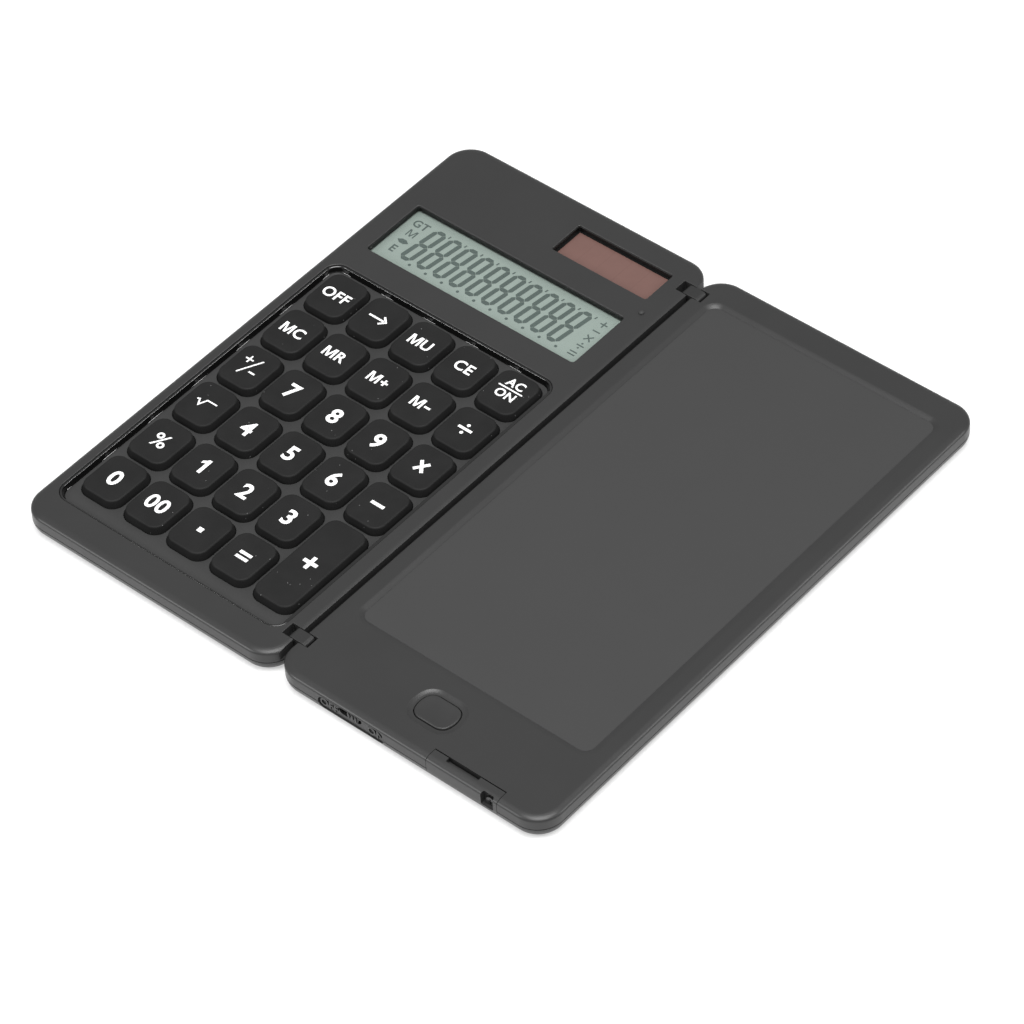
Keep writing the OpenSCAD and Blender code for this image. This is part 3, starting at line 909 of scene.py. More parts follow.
LETTER = 3.1
DIGIT = 4.6
PEN = 0.58
ONE = Shape(((0.0, -2.3), (0.95, -2.3), (0.95, 2.3), (0.2, 2.3), (-0.35, 1.7), (-1.05, 1.3), (-1.05, 0.5),
             (-0.45, 0.72), (0.0, 1.0)))
LEGENDS: dict[str, list[Mark]] = {
    "key_off": [Word("OFF", LETTER)],
    "key_backspace": [bar((-0.45, 0), 4.8, 0.55), Stroke(((0.85, 1.35), (2.25, 0), (0.85, -1.35)), 0.55)],
    "key_mu": [letter_m(LETTER, (-1.75, 0), PEN), Word("U", LETTER, (1.6, 0))],
    "key_ce": [Word("CE", LETTER)],
    "key_ac_on": [Word("AC", 2.5, (0, 2.9), 0.08), bar((0, 0.9), 7.0, 0.4), Word("ON", 2.5, (0, -1.1), 0.08)],
    "key_mc": [letter_m(LETTER, (-1.75, 0), PEN), Word("C", LETTER, (1.75, 0))],
    "key_mr": [letter_m(LETTER, (-1.75, 0), PEN), Word("R", LETTER, (1.65, 0))],
    "key_m_plus": [letter_m(LETTER, (-1.2, 0), PEN), cross((1.95, -0.1), 2.0, 0.55)],
    "key_m_minus": [letter_m(LETTER, (-1.1, 0), PEN), bar((1.95, -0.2), 1.7, 0.6)],
    "key_divide": [bar((0, 0), 4.0, 0.75), Dot((0, 1.35), 0.9), Dot((0, -1.35), 0.9)],
    "key_sign": [cross((-1.7, 1.9), 2.3, 0.42), bar((0.0, 0.1), 7.0, 0.42, 62), bar((1.75, -1.35), 1.8, 0.5)],
    "key_multiply": [cross((0, 0), 4.1, 0.85, 75, 52)],
    "key_root": [Stroke(((-2.7, 0.15), (-2.1, 0.4), (-1.2, -1.2), (-0.2, 1.0), (2.7, 1.0)), 0.42)],
    "key_minus": [bar((0, 0), 3.8, 0.9)],
    "key_percent": [Word("%", 4.3, bold=0.05)],
    "key_plus": [cross((0, 0), 4.0, 1.0)],
    "key_point": [Dot((0, 0), 1.4, 4)],
    "key_equals": [bar((0, 0.75), 3.5, 0.85), bar((0, -0.75), 3.5, 0.85)],
    "key_00": [Word("00", 4.3, bold=0.14)],
    "key_1": [ONE],
} | {f"key_{digit}": [Word(str(digit), DIGIT, bold=0.17)] for digit in (0, *range(2, 10))}


def lettering(name: str, marks: list[Mark], centre: tuple[float, float], low: float, high: float,
              plane: Plane = Plane.UP) -> bpy.types.Object:
    """Joins marks into one thin object.

    Args:
        name: the object's name.
        marks: words, strokes and dots.
        centre: middle of the legend.
        low: height of the underside.
        high: height of the top.
        plane: the way it faces.

    Returns:
        The object.
    """
    made = marks[0].solid(centre, low, high, plane)
    for mark in marks[1:]:
        made = made + mark.solid(centre, low, high, plane)
    return made.to_object(name)


# ---- case halves ----


@dataclass
class CaseHalf:
    """The two shells of a half: elliptical roundings above and below, and a fine parting groove."""

    body: str
    prefix: str
    corner: float = 6.8
    wall: float = 1.7
    roof: float = 1.6
    floor: float = 1.2
    top_run: float = 2.0
    top_drop: float = 1.0
    base_run: float = 2.6
    groove: float = 0.1
    slot: float = 0.5
    bead: float = 0.28
    notch_width: float = 3.6
    notch_floor: float = 0.3
    block_width: float = 8.8
    block_depth: float = 4.9
    rebate: float = 0.85
    screw_bore: float = 1.55
    bore_depth: float = 0.8

    def __post_init__(self) -> None:
        """Reads the half's outline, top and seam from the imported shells."""
        upper = CadBox.of(f"{self.prefix}_top_case")
        self.plan = upper.plan
        self.top = upper.z1
        self.seam = CadBox.of("calc_bottom_case").z1
        self.roof_z = self.top - self.roof
        self.fold_side = 1 if self.prefix == "calc" else -1

    def outer_top(self) -> Profile:
        """From the flat top over a faint bead and an ellipse to the upright wall.

        Returns:
            The profile, from the middle outwards.
        """
        low = self.top - self.top_drop
        sweep = arc((self.top_run, low), (-self.top_run, self.top_drop), 90 - 16, 0, 12)
        return [(self.top_run + 0.1, self.top), (sweep[0][0] + self.bead * 0.5, self.top - 0.012), *sweep]

    def outer_base(self) -> Profile:
        """The ellipse from the seam down to the flat underside."""
        return arc((self.base_run, self.seam), (-self.base_run, -self.seam), 0, 90, 12)

    def upper(self) -> Solid:
        """The upper shell before its openings: outside down to the seam, then up inside to the roof.

        Returns:
            The closed surface.
        """
        g = self.groove
        profile = self.outer_top() + [(0, self.seam + g), (self.slot, self.seam + g), (self.slot, self.seam)]
        profile += [(self.wall, self.seam), (self.wall, self.roof_z)]
        return ring_stack(self.plan, self.corner, profile, steps=16)

    def lower(self) -> Solid:
        """The lower shell before its openings: from its floor up to the seam and down the outside.

        Returns:
            The closed surface.
        """
        g = self.groove
        inside = [(self.wall, self.floor), (self.wall, self.seam), (self.slot, self.seam)]
        base = [(self.slot, self.seam - g), (0.0, self.seam - g)]
        base += [point for point in self.outer_base() if point[1] < self.seam - g - 0.01]
        return ring_stack(self.plan, self.corner, inside + base, steps=16)

    def form(self) -> Solid:
        """The half's whole outer form as one solid."""
        return ring_stack(self.plan, self.corner, self.outer_top() + self.outer_base(), steps=16)

    def fold_rebate(self) -> Solid:
        """The step along the upper fold edge that opens a dark slot between the halves."""
        near, far = sorted((-self.fold_side * self.rebate, self.fold_side))
        step = Rect(near, self.plan.v0 - PAST, far, self.plan.v1 + PAST)
        return slab(step, self.seam + 0.4, self.top + PAST, 0.1, CRISP)

    def hinge_steps(self, reach: float) -> list[tuple[Mix, Solid]]:
        """A solid corner behind each link, and the notch that the link lies in.

        Args:
            reach: how far the notch goes in from the fold line.

        Returns:
            The steps for carve.
        """
        steps = []
        edge = self.plan.u1 if self.fold_side > 0 else self.plan.u0
        places = [CadBox.of(link).plan.centre[1] for link in LINKS]
        for y in places:
            inner = edge - self.fold_side * self.block_depth
            face = edge - self.fold_side * 0.8
            x0, x1 = sorted((inner, face))
            block = Rect(x0, y - self.block_width / 2, x1, y + self.block_width / 2)
            steps.append((Mix.ADD, slab(block, self.seam, self.roof_z + 0.6, 0.2, CRISP)))
        for y in places:
            x0, x1 = sorted((-self.fold_side * reach, self.fold_side * 0.8))
            notch = Rect(x0, y - self.notch_width / 2, x1, y + self.notch_width / 2)
            steps.append((Mix.CUT, opening(notch, self.seam + self.notch_floor, self.top, 0.15, 0.12)))
        return [*steps, (Mix.CUT, self.fold_rebate())]


@dataclass
class CalculatorHalf(CaseHalf):
    """The keypad half: shells, keypad frame and sheet, keys, display, solar cell and cell door."""

    body: str = "calculator"
    prefix: str = "calc"
    lap: float = 1.1
    seat: float = 0.05
    recess_radius: float = 4.0
    lip: float = 0.22
    frame_wall: float = 1.1
    rim_drop: float = 0.22
    rim_width: float = 0.5
    # thickness and top drop of the painted-shade lining on the window walls
    shade_lining_t: float = 0.15
    shade_lining_drop: float = 0.25
    sheet_t: float = 0.8
    notch: float = 4.1
    display_radius: float = 0.8
    solar_radius: float = 0.6

    def __post_init__(self) -> None:
        """Adds the outlines of the recess and the two windows."""
        super().__post_init__()
        self.recess = CadBox.of("keypad_bezel").plan.grown(self.seat)
        self.display = CadBox.of("lcd_window").plan.grown(-self.lap)
        self.solar = CadBox.of("solar_cell").plan.grown(-self.lap)

    def build(self) -> None:
        """Makes every piece of the half."""
        self.shells()
        self.keypad_frame()
        self.keypad_sheet()
        self.windows()
        self.window_wall_shade()
        self.cell_door()
        self.bumper()

    def shells(self) -> None:
        """Upper shell with the recess, windows and hinge notches, and lower shell with door and screws."""
        upper = self.upper().to_object("calculator_upper_shell")
        steps = self.hinge_steps(self.notch)
        steps.append((Mix.CUT, opening(self.recess, self.seam, self.top, self.recess_radius, self.lip)))
        steps.append((Mix.CUT, opening(self.display, self.seam, self.top, self.display_radius, self.lip)))
        steps.append((Mix.CUT, opening(self.solar, self.seam, self.top, self.solar_radius, self.lip)))
        carve(upper, steps)
        install(upper, CASE, self.body, "calc_top_case")
        lower = self.lower().to_object("calculator_lower_shell")
        door = CadBox.of("calc_cell_door").plan.grown(0.1)
        steps = [(Mix.CUT, slab(door, -PAST, self.floor + PAST, 1.5, CRISP))]
        steps += [(Mix.CUT, bore) for bore in screw_bores("calc_case_screws", self.bore_depth, self.screw_bore)]
        carve(lower, steps)
        install(lower, CASE, self.body, "calc_bottom_case")

    def keypad_frame(self) -> None:
        """Glossy frame: a rolled rim, a wall that slopes in as a flat S and a shelf under the sheet."""
        box = CadBox.of("keypad_bezel")
        sheet = CadBox.of("keypad_web")
        shelf = self.frame_wall + 0.25
        share = np.linspace(0, 1, 9)
        crest = self.top - self.rim_drop
        drop = crest - 0.06 - sheet.z1
        flat = self.rim_width
        slope = list(zip(flat + (self.frame_wall - flat) * share,
                         crest - 0.06 - drop * (0.25 * share + 0.75 * share**2 * (3 - 2 * share))))
        rim = arc((0.2, crest - 0.15), (-0.15, 0.15), 0, 90, 4)
        profile = [(self.frame_wall, sheet.z0), *slope[::-1], *rim[::-1]]
        profile += [(self.seat, box.z0), (shelf, box.z0), (shelf, sheet.z0)]
        piece = ring_stack(self.recess, self.recess_radius, profile, closed=True).to_object("keypad_frame")
        rail = Rect(self.recess.u1 - 0.95, self.recess.v0 + 2.6, self.recess.u1 - 0.15, self.recess.v1 - 2.6)
        carve(piece, [(Mix.ADD, slab(rail, sheet.z1 - 0.2, crest - 0.02, 0.3, 0.1))])
        install(piece, BEZEL, self.body, "keypad_bezel", sharp=40)

    def keypad_sheet(self) -> None:
        """Satin sheet with a soft-edged hole round each key."""
        box = CadBox.of("keypad_web")
        radius = self.recess_radius - self.frame_wall
        sheet = slab(box.plan, box.z0, box.z1, radius, 0.1).to_object("keypad_sheet")
        carve(sheet, [(Mix.CUT, Key(name).hole(box.z0 - PAST, box.z1)) for name in LEGENDS])
        install(sheet, SHEET, self.body, "keypad_web")

    def windows(self) -> None:
        """Display glass, its segments and clear window, and the solar cell."""
        glass = CadBox.of("lcd_panel")
        panel = slab(glass.plan, glass.z0, glass.z1, 0.3, 0.05).to_object("display_glass")
        install(panel, DISPLAY, self.body, "lcd_panel")
        Readout(self.display, glass.z1).build(self.body)
        box = CadBox.of("lcd_window")
        lens = slab(box.plan, box.z0 + 0.06, box.z1, 0.4, 0.06).to_object("display_window")
        install(lens, WINDOW, self.body, "lcd_window")
        cell = CadBox.of("solar_cell")
        finish = SolarFinish("solar_brown", "solar_glass", (0.13, 0.071, 0.061), 0.22, 0.01, 0.5, area=self.solar)
        piece = slab(cell.plan, cell.z0, cell.z1, 0.4, 0.06).to_object("solar_module")
        install(piece, finish, self.body, "solar_cell")

    def window_wall_shade(self) -> None:
        """Thin black lining on the wall of each window: painted shade that makes the window walls look unlit."""
        for name, rect, radius, node in (("display_wall_painted_shade", self.display, self.display_radius, "lcd_window"),
                                         ("solar_wall_painted_shade", self.solar, self.solar_radius, "solar_cell")):
            low, high = CadBox.of(node).z1, self.top - self.shade_lining_drop
            edge = [(self.shade_lining_t, high - 0.1), (self.shade_lining_t - 0.08, high)]
            profile = [(self.shade_lining_t, low), *edge, (0.0, high), (0.0, low)]
            install(ring_stack(rect, radius, profile, steps=8, closed=True).to_object(name), WALL_SHADE, self.body)

    def cell_door(self) -> None:
        """Door over the button cell, with a finger dimple and a sunk screw hole."""
        box = CadBox.of("calc_cell_door")
        door = slab(box.plan, box.z0, self.floor, 1.4, 0.15).to_object("cell_door")
        middle = box.plan.centre[1]
        dimple = Rect(box.x0 + 2.2, middle - 3.2, box.x0 + 4.0, middle + 3.2)
        bores = screw_bores("calc_case_screws", self.bore_depth, self.screw_bore, inside=box.plan)
        carve(door, [(Mix.CUT, slab(dimple, -PAST, 0.5, 0.88, 0.2))] + [(Mix.CUT, bore) for bore in bores])
        install(door, CASE, self.body, "calc_cell_door")

    def bumper(self) -> None:
        """Rubber nub that keeps the closed halves apart: a short post under a dome."""
        box = CadBox.of("closing_bumper")
        radius = (box.x1 - box.x0) / 2
        dome = arc((radius, self.top + 0.2), (-radius, box.z1 - self.top - 0.2), 88, 0, 8)
        piece = ring_stack(box.plan, radius, [*dome, (0, self.top - 0.3)]).to_object("closing_nub")
        install(piece, BUMPER, self.body, "closing_bumper", sharp=60)


def clusters(node: str, apart: float = 4.0) -> list[tuple[float, float]]:
    """Middles, seen from above, of the separate solids in a node of upright fasteners.

    Args:
        node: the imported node.
        apart: least distance between two solids.

    Returns:
        One middle for each solid.
    """
    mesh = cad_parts[node].data
    points = np.zeros(len(mesh.vertices) * 3)
    mesh.vertices.foreach_get("co", points)
    left = points.reshape(-1, 3)[:, :2] / MM
    found = []
    while len(left):
        near = np.linalg.norm(left - left[0], axis=1) < apart
        found.append(tuple((left[near].min(0) + left[near].max(0)) / 2))
        left = left[~near]
    return found


def screw_bores(node: str, depth: float, radius: float, inside: Rect | None = None) -> list[Solid]:
    """Counterbores and shank holes under each screw of a node.

    Args:
        node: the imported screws.
        depth: how deep the head is sunk.
        radius: radius of the counterbore.
        inside: keeps only the screws within this rectangle.

    Returns:
        The cutting solids.
    """
    bores = []
    for x, y in clusters(node):
        if inside and not (inside.u0 < x < inside.u1 and inside.v0 < y < inside.v1):
            continue
        shank = radius * 0.55
        square = Rect(x - radius, y - radius, x + radius, y + radius)
        head = [(0.0, depth), (0.0, 0.12), (-0.12, 0.0), (-0.12, -PAST)]
        profile = [(radius - shank, 4), (radius - shank, depth), *head]
        bores.append(ring_stack(square, radius, profile, steps=8))
    return bores


@dataclass
class Key:
    """A soft key: drafted sides, a round top edge and a lip that holds it under the sheet."""

    name: str
    lip: float = 0.3
    lip_t: float = 0.9
    radius: float = 3.2
    draft: float = 0.42
    fillet: float = 0.5
    gap: float = 0.15

    def __post_init__(self) -> None:
        """Reads the key's place."""
        self.box = CadBox.of(self.name)
        self.foot = self.box.plan.grown(-self.lip)

    def hole(self, low: float, high: float) -> Solid:
        """The solid that cuts this key's hole in the sheet."""
        return opening(self.foot.grown(self.gap), low, high, self.radius + self.gap, 0.18)

    def build(self, sheet_z: float) -> None:
        """Makes the key and its printed legend.

        Args:
            sheet_z: height of the sheet, where the sides begin to lean in.
        """
        top = self.box.z1
        edge = arc((self.draft + self.fillet, top - self.fillet), (-self.fillet, self.fillet), 90, 8, 7)
        low = self.box.z0
        lip = [(0.0, low + self.lip_t), (-self.lip, low + self.lip_t), (-self.lip, low)]
        profile = [*edge, (0.0, sheet_z - 0.1), *lip]
        piece = ring_stack(self.foot, self.radius, profile, steps=10).to_object(f"{self.name}_cap")
        install(piece, RUBBER, self.name, self.name, sharp=50)
        print_z = top + 0.015
        legend = lettering(f"{self.name}_legend", LEGENDS[self.name], self.foot.centre, top - 0.02, print_z)
        install(legend, INK, self.name)


@dataclass
class Readout:
    """Ten seven-segment digits, points, marks and function signs on the display glass."""

    window: Rect
    glass_z: float
    digits: int = 10
    first: float = 8.9
    pitch: float = 5.03
    base: float = 3.75
    height: float = 12.9
    width: float = 3.9
    stroke: float = 1.2
    gap: float = 0.06
    lean: float = 7.0
    thickness: float = 0.02
    indicators: float = 3.9
    functions: float = 60.3

    def segments(self) -> np.ndarray:
        """Outlines of all segments: one pointed bar, turned, placed seven times and sheared by the lean.

        Returns:
            Array of outlines, six corners and two coordinates.
        """
        half_h = self.height / 2 - self.stroke / 2
        half_w = self.width / 2 - self.stroke / 2
        rows = []
        for length, turned, middle in (
            (2 * half_w, 0, (0, half_h)), (2 * half_w, 0, (0, 0)), (2 * half_w, 0, (0, -half_h)),
            (half_h, 1, (-half_w, half_h / 2)), (half_h, 1, (half_w, half_h / 2)),
            (half_h, 1, (-half_w, -half_h / 2)), (half_h, 1, (half_w, -half_h / 2)),
        ):
            half, thin = length / 2 - self.gap, self.stroke / 2
            hexagon = np.array([(-half, 0), (thin - half, -thin), (half - thin, -thin), (half, 0),
                                (half - thin, thin), (thin - half, thin)])
            if turned:
                hexagon = np.column_stack([-hexagon[:, 1], hexagon[:, 0]])
            rows.append(hexagon + middle)
        digit = np.array(rows)
        digit[..., 0] += digit[..., 1] * math.tan(math.radians(self.lean))
        places = self.window.u0 + self.first + self.pitch * np.arange(self.digits)
        middle_y = self.window.v0 + self.base + self.height / 2
        return (digit[None] + np.stack([places, np.full(self.digits, middle_y)], -1)[:, None, None]).reshape(-1, 6, 2)

    def marks(self) -> list[Mark]:
        """Points and separators by the digits, indicators on the left and signs on the right.

        Returns:
            The marks, placed from the window's corner.
        """
        made: list[Mark] = []
        for n in range(self.digits):
            x = self.first + self.pitch * n
            made.append(Dot((x + 1.65, self.base - 0.5), 0.8, 8))
            made.append(Stroke(((x + 3.05, self.base + self.height - 0.9), (x + 3.25, self.base + self.height)), 0.4))
        left, right = self.indicators, self.functions
        diamond = ((-1.7, 0), (-0.6, -0.75), (0.6, -0.75), (1.7, 0), (0.6, 0.75), (-0.6, 0.75))
        made += [Word("GT", 2.4, (left, 15.3), 0.07), letter_m(2.4, (left, 11.8), 0.36),
                 Word("E", 2.4, (left - 0.3, 5.4), 0.08), Shape(diamond, (left, 8.5))]
        made += [cross((right, 15.5), 2.1, 0.4), bar((right, 12.7), 2.1, 0.4), cross((right, 9.9), 2.6, 0.4, 90, 45),
                 bar((right, 6.8), 2.1, 0.4), Dot((right, 7.65), 0.55, 8), Dot((right, 5.95), 0.55, 8),
                 bar((right, 4.35), 2.1, 0.4), bar((right, 3.35), 2.1, 0.4)]
        return made

    def build(self, body: str) -> None:
        """Makes the digits and the marks as two thin pieces.

        Args:
            body: the body that they move with.
        """
        top = self.glass_z + self.thickness
        digits = prisms(self.segments(), self.glass_z - 0.01, top).to_object("display_digits")
        install(digits, SEGMENT, body)
        corner = (self.window.u0, self.window.v0)
        signs = lettering("display_signs", self.marks(), corner, self.glass_z - 0.01, top)
        install(signs, SEGMENT, body)


@dataclass
class Link:
    """A hinge link: a bar with round ends that carries both pins."""

    name: str
    edge: float = 0.12

    def build(self) -> None:
        """A round-ended outline in the upright plane, carried along the fold line with rounded edges."""
        box = CadBox.of(self.name)
        radius = (box.z1 - box.z0) / 2
        piece = slab(box.face, -box.y1, -box.y0, radius, self.edge, Plane.FRONT).to_object(f"{self.name}_bar")
        install(piece, LINK, "hinge_links", self.name, sharp=50)


@dataclass
class TabletHalf(CaseHalf):
    """The writing half: shells, film, erase button, lock slider and battery tray."""

    body: str = "tablet"
    prefix: str = "tablet"
    film_lap: float = 1.15
    film_slope: float = 1.5
    film_radius: float = 2.5
    notch: float = 3.4
    rebate: float = 0.55
    erase_lip: float = 0.8
    dish: float = 1.5
    dish_depth: float = 0.45
    gap: float = 0.2
    switch_height: float = 3.5
    switch_depth: float = 0.5
    switch_left: float = 8.2
    switch_length: float = 19.2
    slot_left: float = 2.3
    slot_right: float = 0.7
    letter: float = 2.2

    def __post_init__(self) -> None:
        """Adds the outlines of the film, button, switch and tray."""
        super().__post_init__()
        self.film = CadBox.of("writing_film")
        self.film_rect = self.film.plan.grown(-self.film_lap)
        self.button = CadBox.of("erase_button")
        self.slider = CadBox.of("lock_slider")
        self.tray = CadBox.of("battery_tray")
        self.front = self.plan.v0
        u0 = self.slider.x0 - self.switch_left
        v0 = (self.slider.z0 + self.slider.z1) / 2 - 0.75 - self.switch_height / 2
        self.switch = Rect(u0, v0, u0 + self.switch_length, v0 + self.switch_height)

    def build(self) -> None:
        """Makes every piece of the half."""
        self.shells()
        self.writing_film()
        self.erase_button()
        self.switch_letters()
        self.lock_slider()
        self.battery_tray()
        self.coin_cell()

    def button_rings(self, profile: Profile) -> np.ndarray:
        """Rings of the erase button's outline at each (inset, height) pair.

        The outline is the nearest, along each direction from its middle, of a rounded rectangle and two
        circles that bow its ends.

        Args:
            profile: pairs of inset and height.

        Returns:
            Array of rings, points and three coordinates.
        """
        pairs = np.asarray(profile, float)
        grow = -pairs[:, 0, None]
        turn = np.linspace(0, 2 * math.pi, 72, endpoint=False)[None, :]
        c, s = np.abs(np.cos(turn)), np.abs(np.sin(turn))
        a = (self.button.x1 - self.button.x0) / 2 - self.erase_lip + grow
        b = (self.button.y1 - self.button.y0) / 2 - self.erase_lip + grow
        corner, bow = 2.9 + grow, 6.0 + grow
        sides = np.minimum(a / np.maximum(c, 1e-9), b / np.maximum(s, 1e-9))
        cu, cv = a - corner, b - corner
        root = np.sqrt(np.maximum(corner**2 - (cu * s - cv * c) ** 2, 0))
        rounded = np.where((sides * c > cu) & (sides * s > cv), cu * c + cv * s + root, sides)
        bowed = (a - bow) * c + np.sqrt(np.maximum(bow**2 - ((a - bow) * s) ** 2, 0))
        reach = np.minimum(rounded, bowed)
        x, y = self.button.plan.centre
        height = np.broadcast_to(pairs[:, 1, None], reach.shape)
        return np.stack([x + reach * np.cos(turn), y + reach * np.sin(turn), height], axis=-1)

    def front_steps(self) -> list[tuple[Mix, Solid]]:
        """Cuts in the front wall that both shells share: switch recess, slider slot and tray opening.

        Returns:
            The steps for carve.
        """
        deep = -self.front - self.switch_depth
        recess = ring_stack(self.switch, self.switch_height / 2, [(0, -self.front + PAST), (0, deep)], Plane.FRONT)
        slot = Rect(self.slider.x0 - self.slot_left, self.slider.z0 - self.gap,
                    self.slider.x1 + self.slot_right, self.slider.z1 + self.gap)
        hole = ring_stack(slot, 1.0, [(0, -self.front + PAST), (0, -self.front - 3)], Plane.FRONT)
        tray = Rect(self.tray.x0 - 0.12, self.front - PAST, self.tray.x1 + 0.12, self.tray_back())
        gap = slab(tray, self.tray.z0 - 0.1, self.top + PAST, 0.1, CRISP)
        return [(Mix.CUT, recess), (Mix.CUT, hole), (Mix.CUT, gap)]

    def tray_back(self) -> float:
        """How deep the tray's front reaches into the case."""
        return self.front + 3.5

    def shells(self) -> None:
        """Upper shell with the film's sloping surround, the button's dish and the hinge notches."""
        upper = self.upper().to_object("tablet_upper_shell")
        rim = self.film.z1 + 0.04
        share = np.linspace(0, 1, 9)
        rise = self.top - rim
        slope = list(zip(-self.film_slope * (1 - share), self.top - rise * share**1.4))
        profile = [(-self.film_slope, self.top + PAST), *slope, (0.0, self.seam)]
        film = ring_stack(self.film_rect, self.film_radius, profile)
        dish = list(zip(-self.gap - self.dish * (1 - share), self.top - self.dish_depth * share * (2 - share)))
        dish = [(-self.gap - self.dish, self.top + PAST), *dish, (-self.gap, self.seam)]
        steps = self.hinge_steps(self.notch)
        steps += [(Mix.CUT, film), (Mix.CUT, slab(self.film.plan.grown(0.05), self.seam, self.film.z1, 0.2, CRISP)),
                  (Mix.CUT, skin(self.button_rings(dish)))]
        carve(upper, steps + self.front_steps())
        install(upper, CASE, self.body, "tablet_top_case")
        lower = self.lower().to_object("tablet_lower_shell")
        bed = Rect(self.tray.x0, self.front + self.wall - 0.1, self.tray.x1, self.tray.y1)
        bores = screw_bores("tablet_case_screws", self.bore_depth, self.screw_bore)
        steps = [(Mix.ADD, slab(bed, self.floor - 0.1, self.tray.z0 - 0.1, 0.3, CRISP))] + self.front_steps()
        carve(lower, steps + [(Mix.CUT, bore) for bore in bores])
        install(lower, CASE, self.body, "tablet_bottom_case")

    def writing_film(self) -> None:
        """Film with a small round along its upper edge."""
        box = self.film
        edge = 0.12
        profile = [(edge + 0.02, box.z1), *arc((edge, box.z1 - edge), (-edge, edge), 90, 0, 3), (0.0, box.z0)]
        film = ring_stack(box.plan, 0.6, profile).to_object("writing_film_sheet")
        install(film, FILM, self.body, "writing_film")

    def erase_button(self) -> None:
        """Button with a rounded edge, a faintly dished top and a lip under the case."""
        top, low = self.button.z1, self.button.z0
        edge = 0.35
        share = np.linspace(0, 1, 6)
        dished = list(zip(3.4 - (3.4 - edge) * share, top - 0.12 * (1 - share**2)))
        rounded = arc((edge, top - edge), (-edge, edge), 84, 0, 5)
        lip = [(0.0, low + 0.7), (-self.erase_lip, low + 0.7), (-self.erase_lip, low)]
        piece = skin(self.button_rings([*dished, *rounded, *lip])).to_object("erase_button_cap")
        install(piece, BUTTON, "erase_button", "erase_button", sharp=50)

    def switch_letters(self) -> None:
        """Raised off and on words on the floor of the switch recess."""
        floor = -self.front - self.switch_depth
        u0, v0 = self.switch.u0, (self.switch.v0 + self.switch.v1) / 2
        off = Word("OFF", self.letter, (3.2, 0.25), 0.08, 0.95)
        marks: list[Mark] = [off, Word("ON", self.letter, (16.6, 0.25), 0.08)]
        piece = lettering("switch_letters", marks, (u0, v0), floor - 0.05, floor + 0.32, Plane.FRONT)
        install(piece, CASE, self.body)

    def lock_slider(self) -> None:
        """Rounded slider with three grip ribs and the stem that works the switch inside."""
        box = self.slider
        middle = (box.x0 + box.x1) / 2
        face = box.y0 + 0.25
        body = slab(box.face, -(self.front + self.wall), -face, 0.9, 0.12, Plane.FRONT)
        piece = body.to_object("lock_slider_knob")
        steps = []
        for shift in (-1.0, 0.0, 1.0):
            rib = Rect(middle + shift - 0.27, box.z0 + 0.25, middle + shift + 0.27, box.z1 - 0.25)
            steps.append((Mix.ADD, slab(rib, -face - 0.3, -box.y0, 0.2, 0.1, Plane.FRONT)))
        stem = Rect(middle - 0.7, box.z0 + 0.3, middle + 0.7, box.z0 + 1.3)
        steps.append((Mix.ADD, slab(stem, -box.y1, -(self.front + self.wall) + 0.2, 0.1, 0.05, Plane.FRONT)))
        carve(piece, steps)
        install(piece, KNOB, "lock_slider", "lock_slider")

    def battery_tray(self) -> None:
        """Tray: a front cut from the half's own form, a finger notch, a screw pocket and the cell holder."""
        box, cell, screw = self.tray, CadBox.of("tablet_coin_cell"), CadBox.of("tray_screw")
        piece = self.form().to_object("battery_tray_front")
        back = self.tray_back() - 0.28
        front = slab(Rect(box.x0, self.front - PAST, box.x1, back), box.z0, self.top + PAST, 0.12, 0.05)
        holder_x = (box.x0 + 0.28, cell.x1 + 1.2)
        holder = slab(Rect(holder_x[0], back - 0.5, holder_x[1], box.y1), box.z0, cell.z1, 0.8, 0.08)
        radius = (cell.x1 - cell.x0) / 2 + 0.1
        well = ring_stack(cell.plan.grown(0.1), radius, [(0, self.top), (0, cell.z0)], steps=14)
        cx = cell.plan.centre[0] + 0.6
        notch = slab(Rect(cx - 4.4, back - 1.15, cx + 4.6, back + PAST), self.top - 1.2, self.top + PAST, 0.3, CRISP)
        sx, sz = (screw.x0 + screw.x1) / 2, (screw.z0 + screw.z1) / 2
        pocket = Rect(sx - 2.0, sz - 1.1, sx + 1.45, self.top - 0.15)
        depth = -self.front - 1.5
        hollow = ring_stack(pocket, 0.5, [(0, -self.front + PAST), (0, depth)], Plane.FRONT)
        shank = 0.65
        square = Rect(sx - shank, sz - shank, sx + shank, sz + shank)
        hole = ring_stack(square, shank, [(0, -self.front), (0, -back - PAST)], Plane.FRONT, steps=6)
        carve(piece, [(Mix.KEEP, front), (Mix.ADD, holder), (Mix.CUT, well), (Mix.CUT, notch), (Mix.CUT, hollow),
                      (Mix.CUT, hole)])
        install(piece, CASE, "battery_tray", "battery_tray")

    def coin_cell(self) -> None:
        """Coin cell: the can's rounded edge, a seal groove and the narrower cap."""
        box = CadBox.of("tablet_coin_cell")
        radius = (box.x1 - box.x0) / 2
        step = box.z0 + (box.z1 - box.z0) * 0.75
        cap = [(1.15, box.z1), (0.95, box.z1 - 0.06), (0.9, step), (0.7, step - 0.08), (0.6, step)]
        can = arc((0.2, step - 0.2), (-0.2, 0.2), 90, 0, 4) + arc((0.2, box.z0 + 0.2), (-0.2, -0.2), 0, 90, 4)
        piece = ring_stack(box.plan, radius, cap + can, steps=14).to_object("coin_cell")
        install(piece, STEEL, "battery_tray", "tablet_coin_cell")


# ---- studio ----


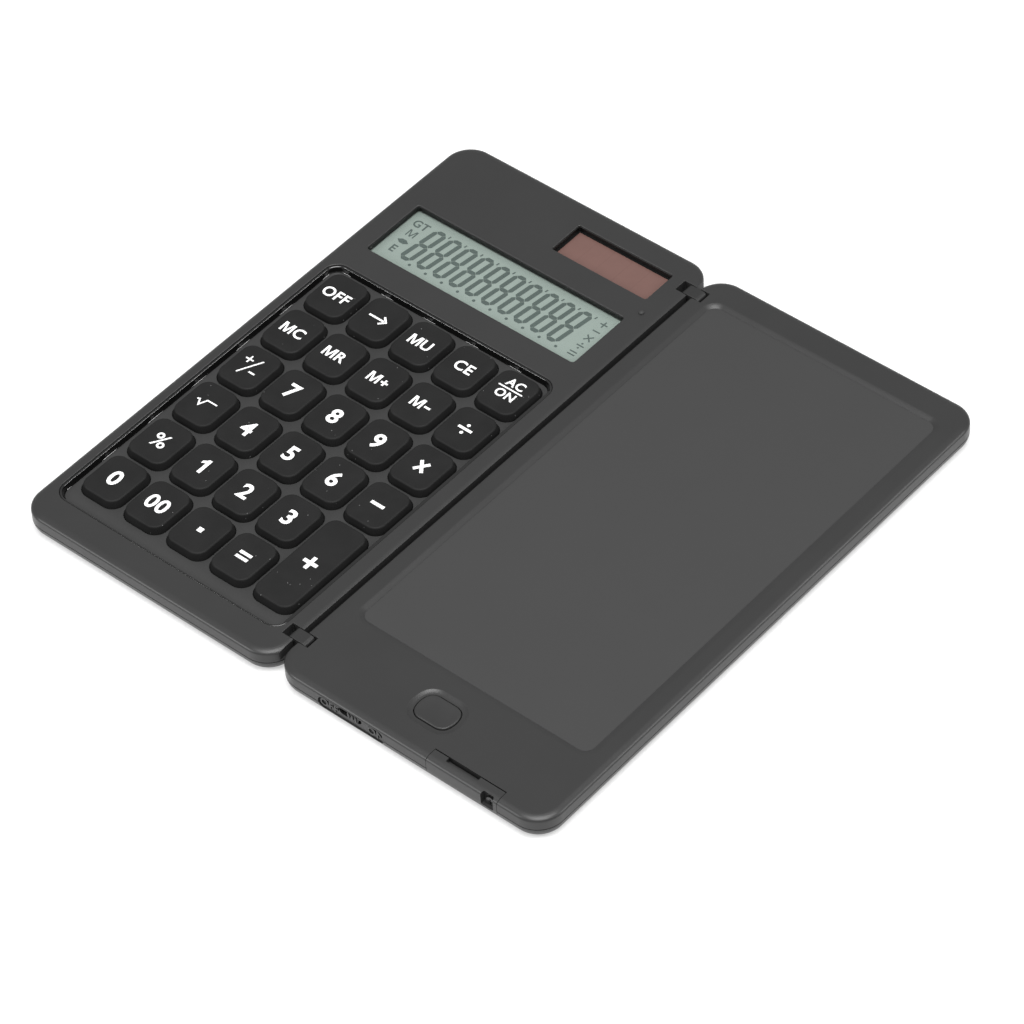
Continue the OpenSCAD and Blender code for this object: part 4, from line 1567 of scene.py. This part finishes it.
@dataclass
class Studio:
    """Pale floor, soft light and the camera."""

    target: tuple[float, float, float] = (8.0997, -6.2807, 0.0)
    distance: float = 1083.41
    azimuth: float = 43.09
    elevation: float = 46.14
    roll: float = -3.91
    lens: float = 168.18
    floor_size: float = 6.0
    glow: float = 0.48

    def build(self) -> None:
        """Makes the floor, the lights and the camera."""
        self.floor()
        self.lights()
        self.camera()

    def back(self) -> Vector:
        """Direction from the target to the camera."""
        a, e = math.radians(self.azimuth), math.radians(self.elevation)
        return Vector((math.sin(a) * math.cos(e), -math.cos(a) * math.cos(e), math.sin(e)))

    def camera(self) -> None:
        """Camera looking at the target, turned about its own axis by the roll."""
        data = bpy.data.cameras.new("camera")
        data.lens, data.sensor_width = self.lens, 36.0
        data.clip_start, data.clip_end = 0.05, 20
        eye = bpy.data.objects.new("camera", data)
        bpy.context.scene.collection.objects.link(eye)
        back = self.back()
        right = Vector((0, 0, 1)).cross(back).normalized()
        up = back.cross(right)
        turn = math.radians(self.roll)
        side = right * math.cos(turn) + up * math.sin(turn)
        high = up * math.cos(turn) - right * math.sin(turn)
        eye.matrix_world = Matrix((
            (side.x, high.x, back.x, (self.target[0] + back.x * self.distance) * MM),
            (side.y, high.y, back.y, (self.target[1] + back.y * self.distance) * MM),
            (side.z, high.z, back.z, (self.target[2] + back.z * self.distance) * MM),
            (0, 0, 0, 1)))
        bpy.context.scene.camera = eye

    def floor(self) -> None:
        """Pale floor just under the object."""
        half = self.floor_size / 2 / MM
        plate = slab(Rect(-half, -half, half, half), -20, -0.05, 10, 1).to_object("floor")
        paint = Finish("floor_white", "", grey(0.5), 0.7, 0.02, 0.2, mottle=0.0, mottle_size=300).material()
        shader = Nodes.surface(paint)
        shader.inputs["Emission Color"].default_value = (1, 1, 1, 1)
        shader.inputs["Emission Strength"].default_value = self.glow
        plate.data.materials.append(paint)

    def lights(self) -> None:
        """White surroundings, a large soft light above, and a small bright one low on each side for glints."""
        scene = bpy.context.scene
        world = bpy.data.worlds.new("studio")
        world.use_nodes = True
        background = world.node_tree.nodes["Background"]
        background.inputs["Color"].default_value = (1, 1, 1, 1)
        background.inputs["Strength"].default_value = 0.4
        scene.world = world
        scene.view_settings.view_transform = "Standard"
        self.softbox("overhead_soft", (0.25, -0.2, 1.4), 1.0, 26)
        self.softbox("right_accent", (0.95, 0.66, 0.72), 0.33, 4.6)
        self.softbox("left_accent", (-0.62, -0.95, 0.7), 0.35, 5.5)

    def softbox(self, name: str, at: tuple[float, float, float], size: float, power: float) -> None:
        """Adds a square soft light aimed at the object.

        Args:
            name: the light's name.
            at: its place in metres.
            size: length of its sides in metres.
            power: watts.
        """
        data = bpy.data.lights.new(name, "AREA")
        data.size, data.energy = size, power
        lamp = bpy.data.objects.new(name, data)
        lamp.matrix_world = Matrix.Translation(at) @ Vector(at).to_track_quat("Z", "Y").to_matrix().to_4x4()
        bpy.context.scene.collection.objects.link(lamp)


def main() -> None:
    """Builds the studio and every piece in order."""
    logging.basicConfig(level=logging.INFO, format="%(message)s")
    Studio().build()
    dress_packed()
    CalculatorHalf().build()
    sheet_z = CadBox.of("keypad_web").z1
    for name in LEGENDS:
        Key(name).build(sheet_z)
    for name in LINKS:
        Link(name).build()
    TabletHalf().build()


if __name__ == "__main__":
    main()
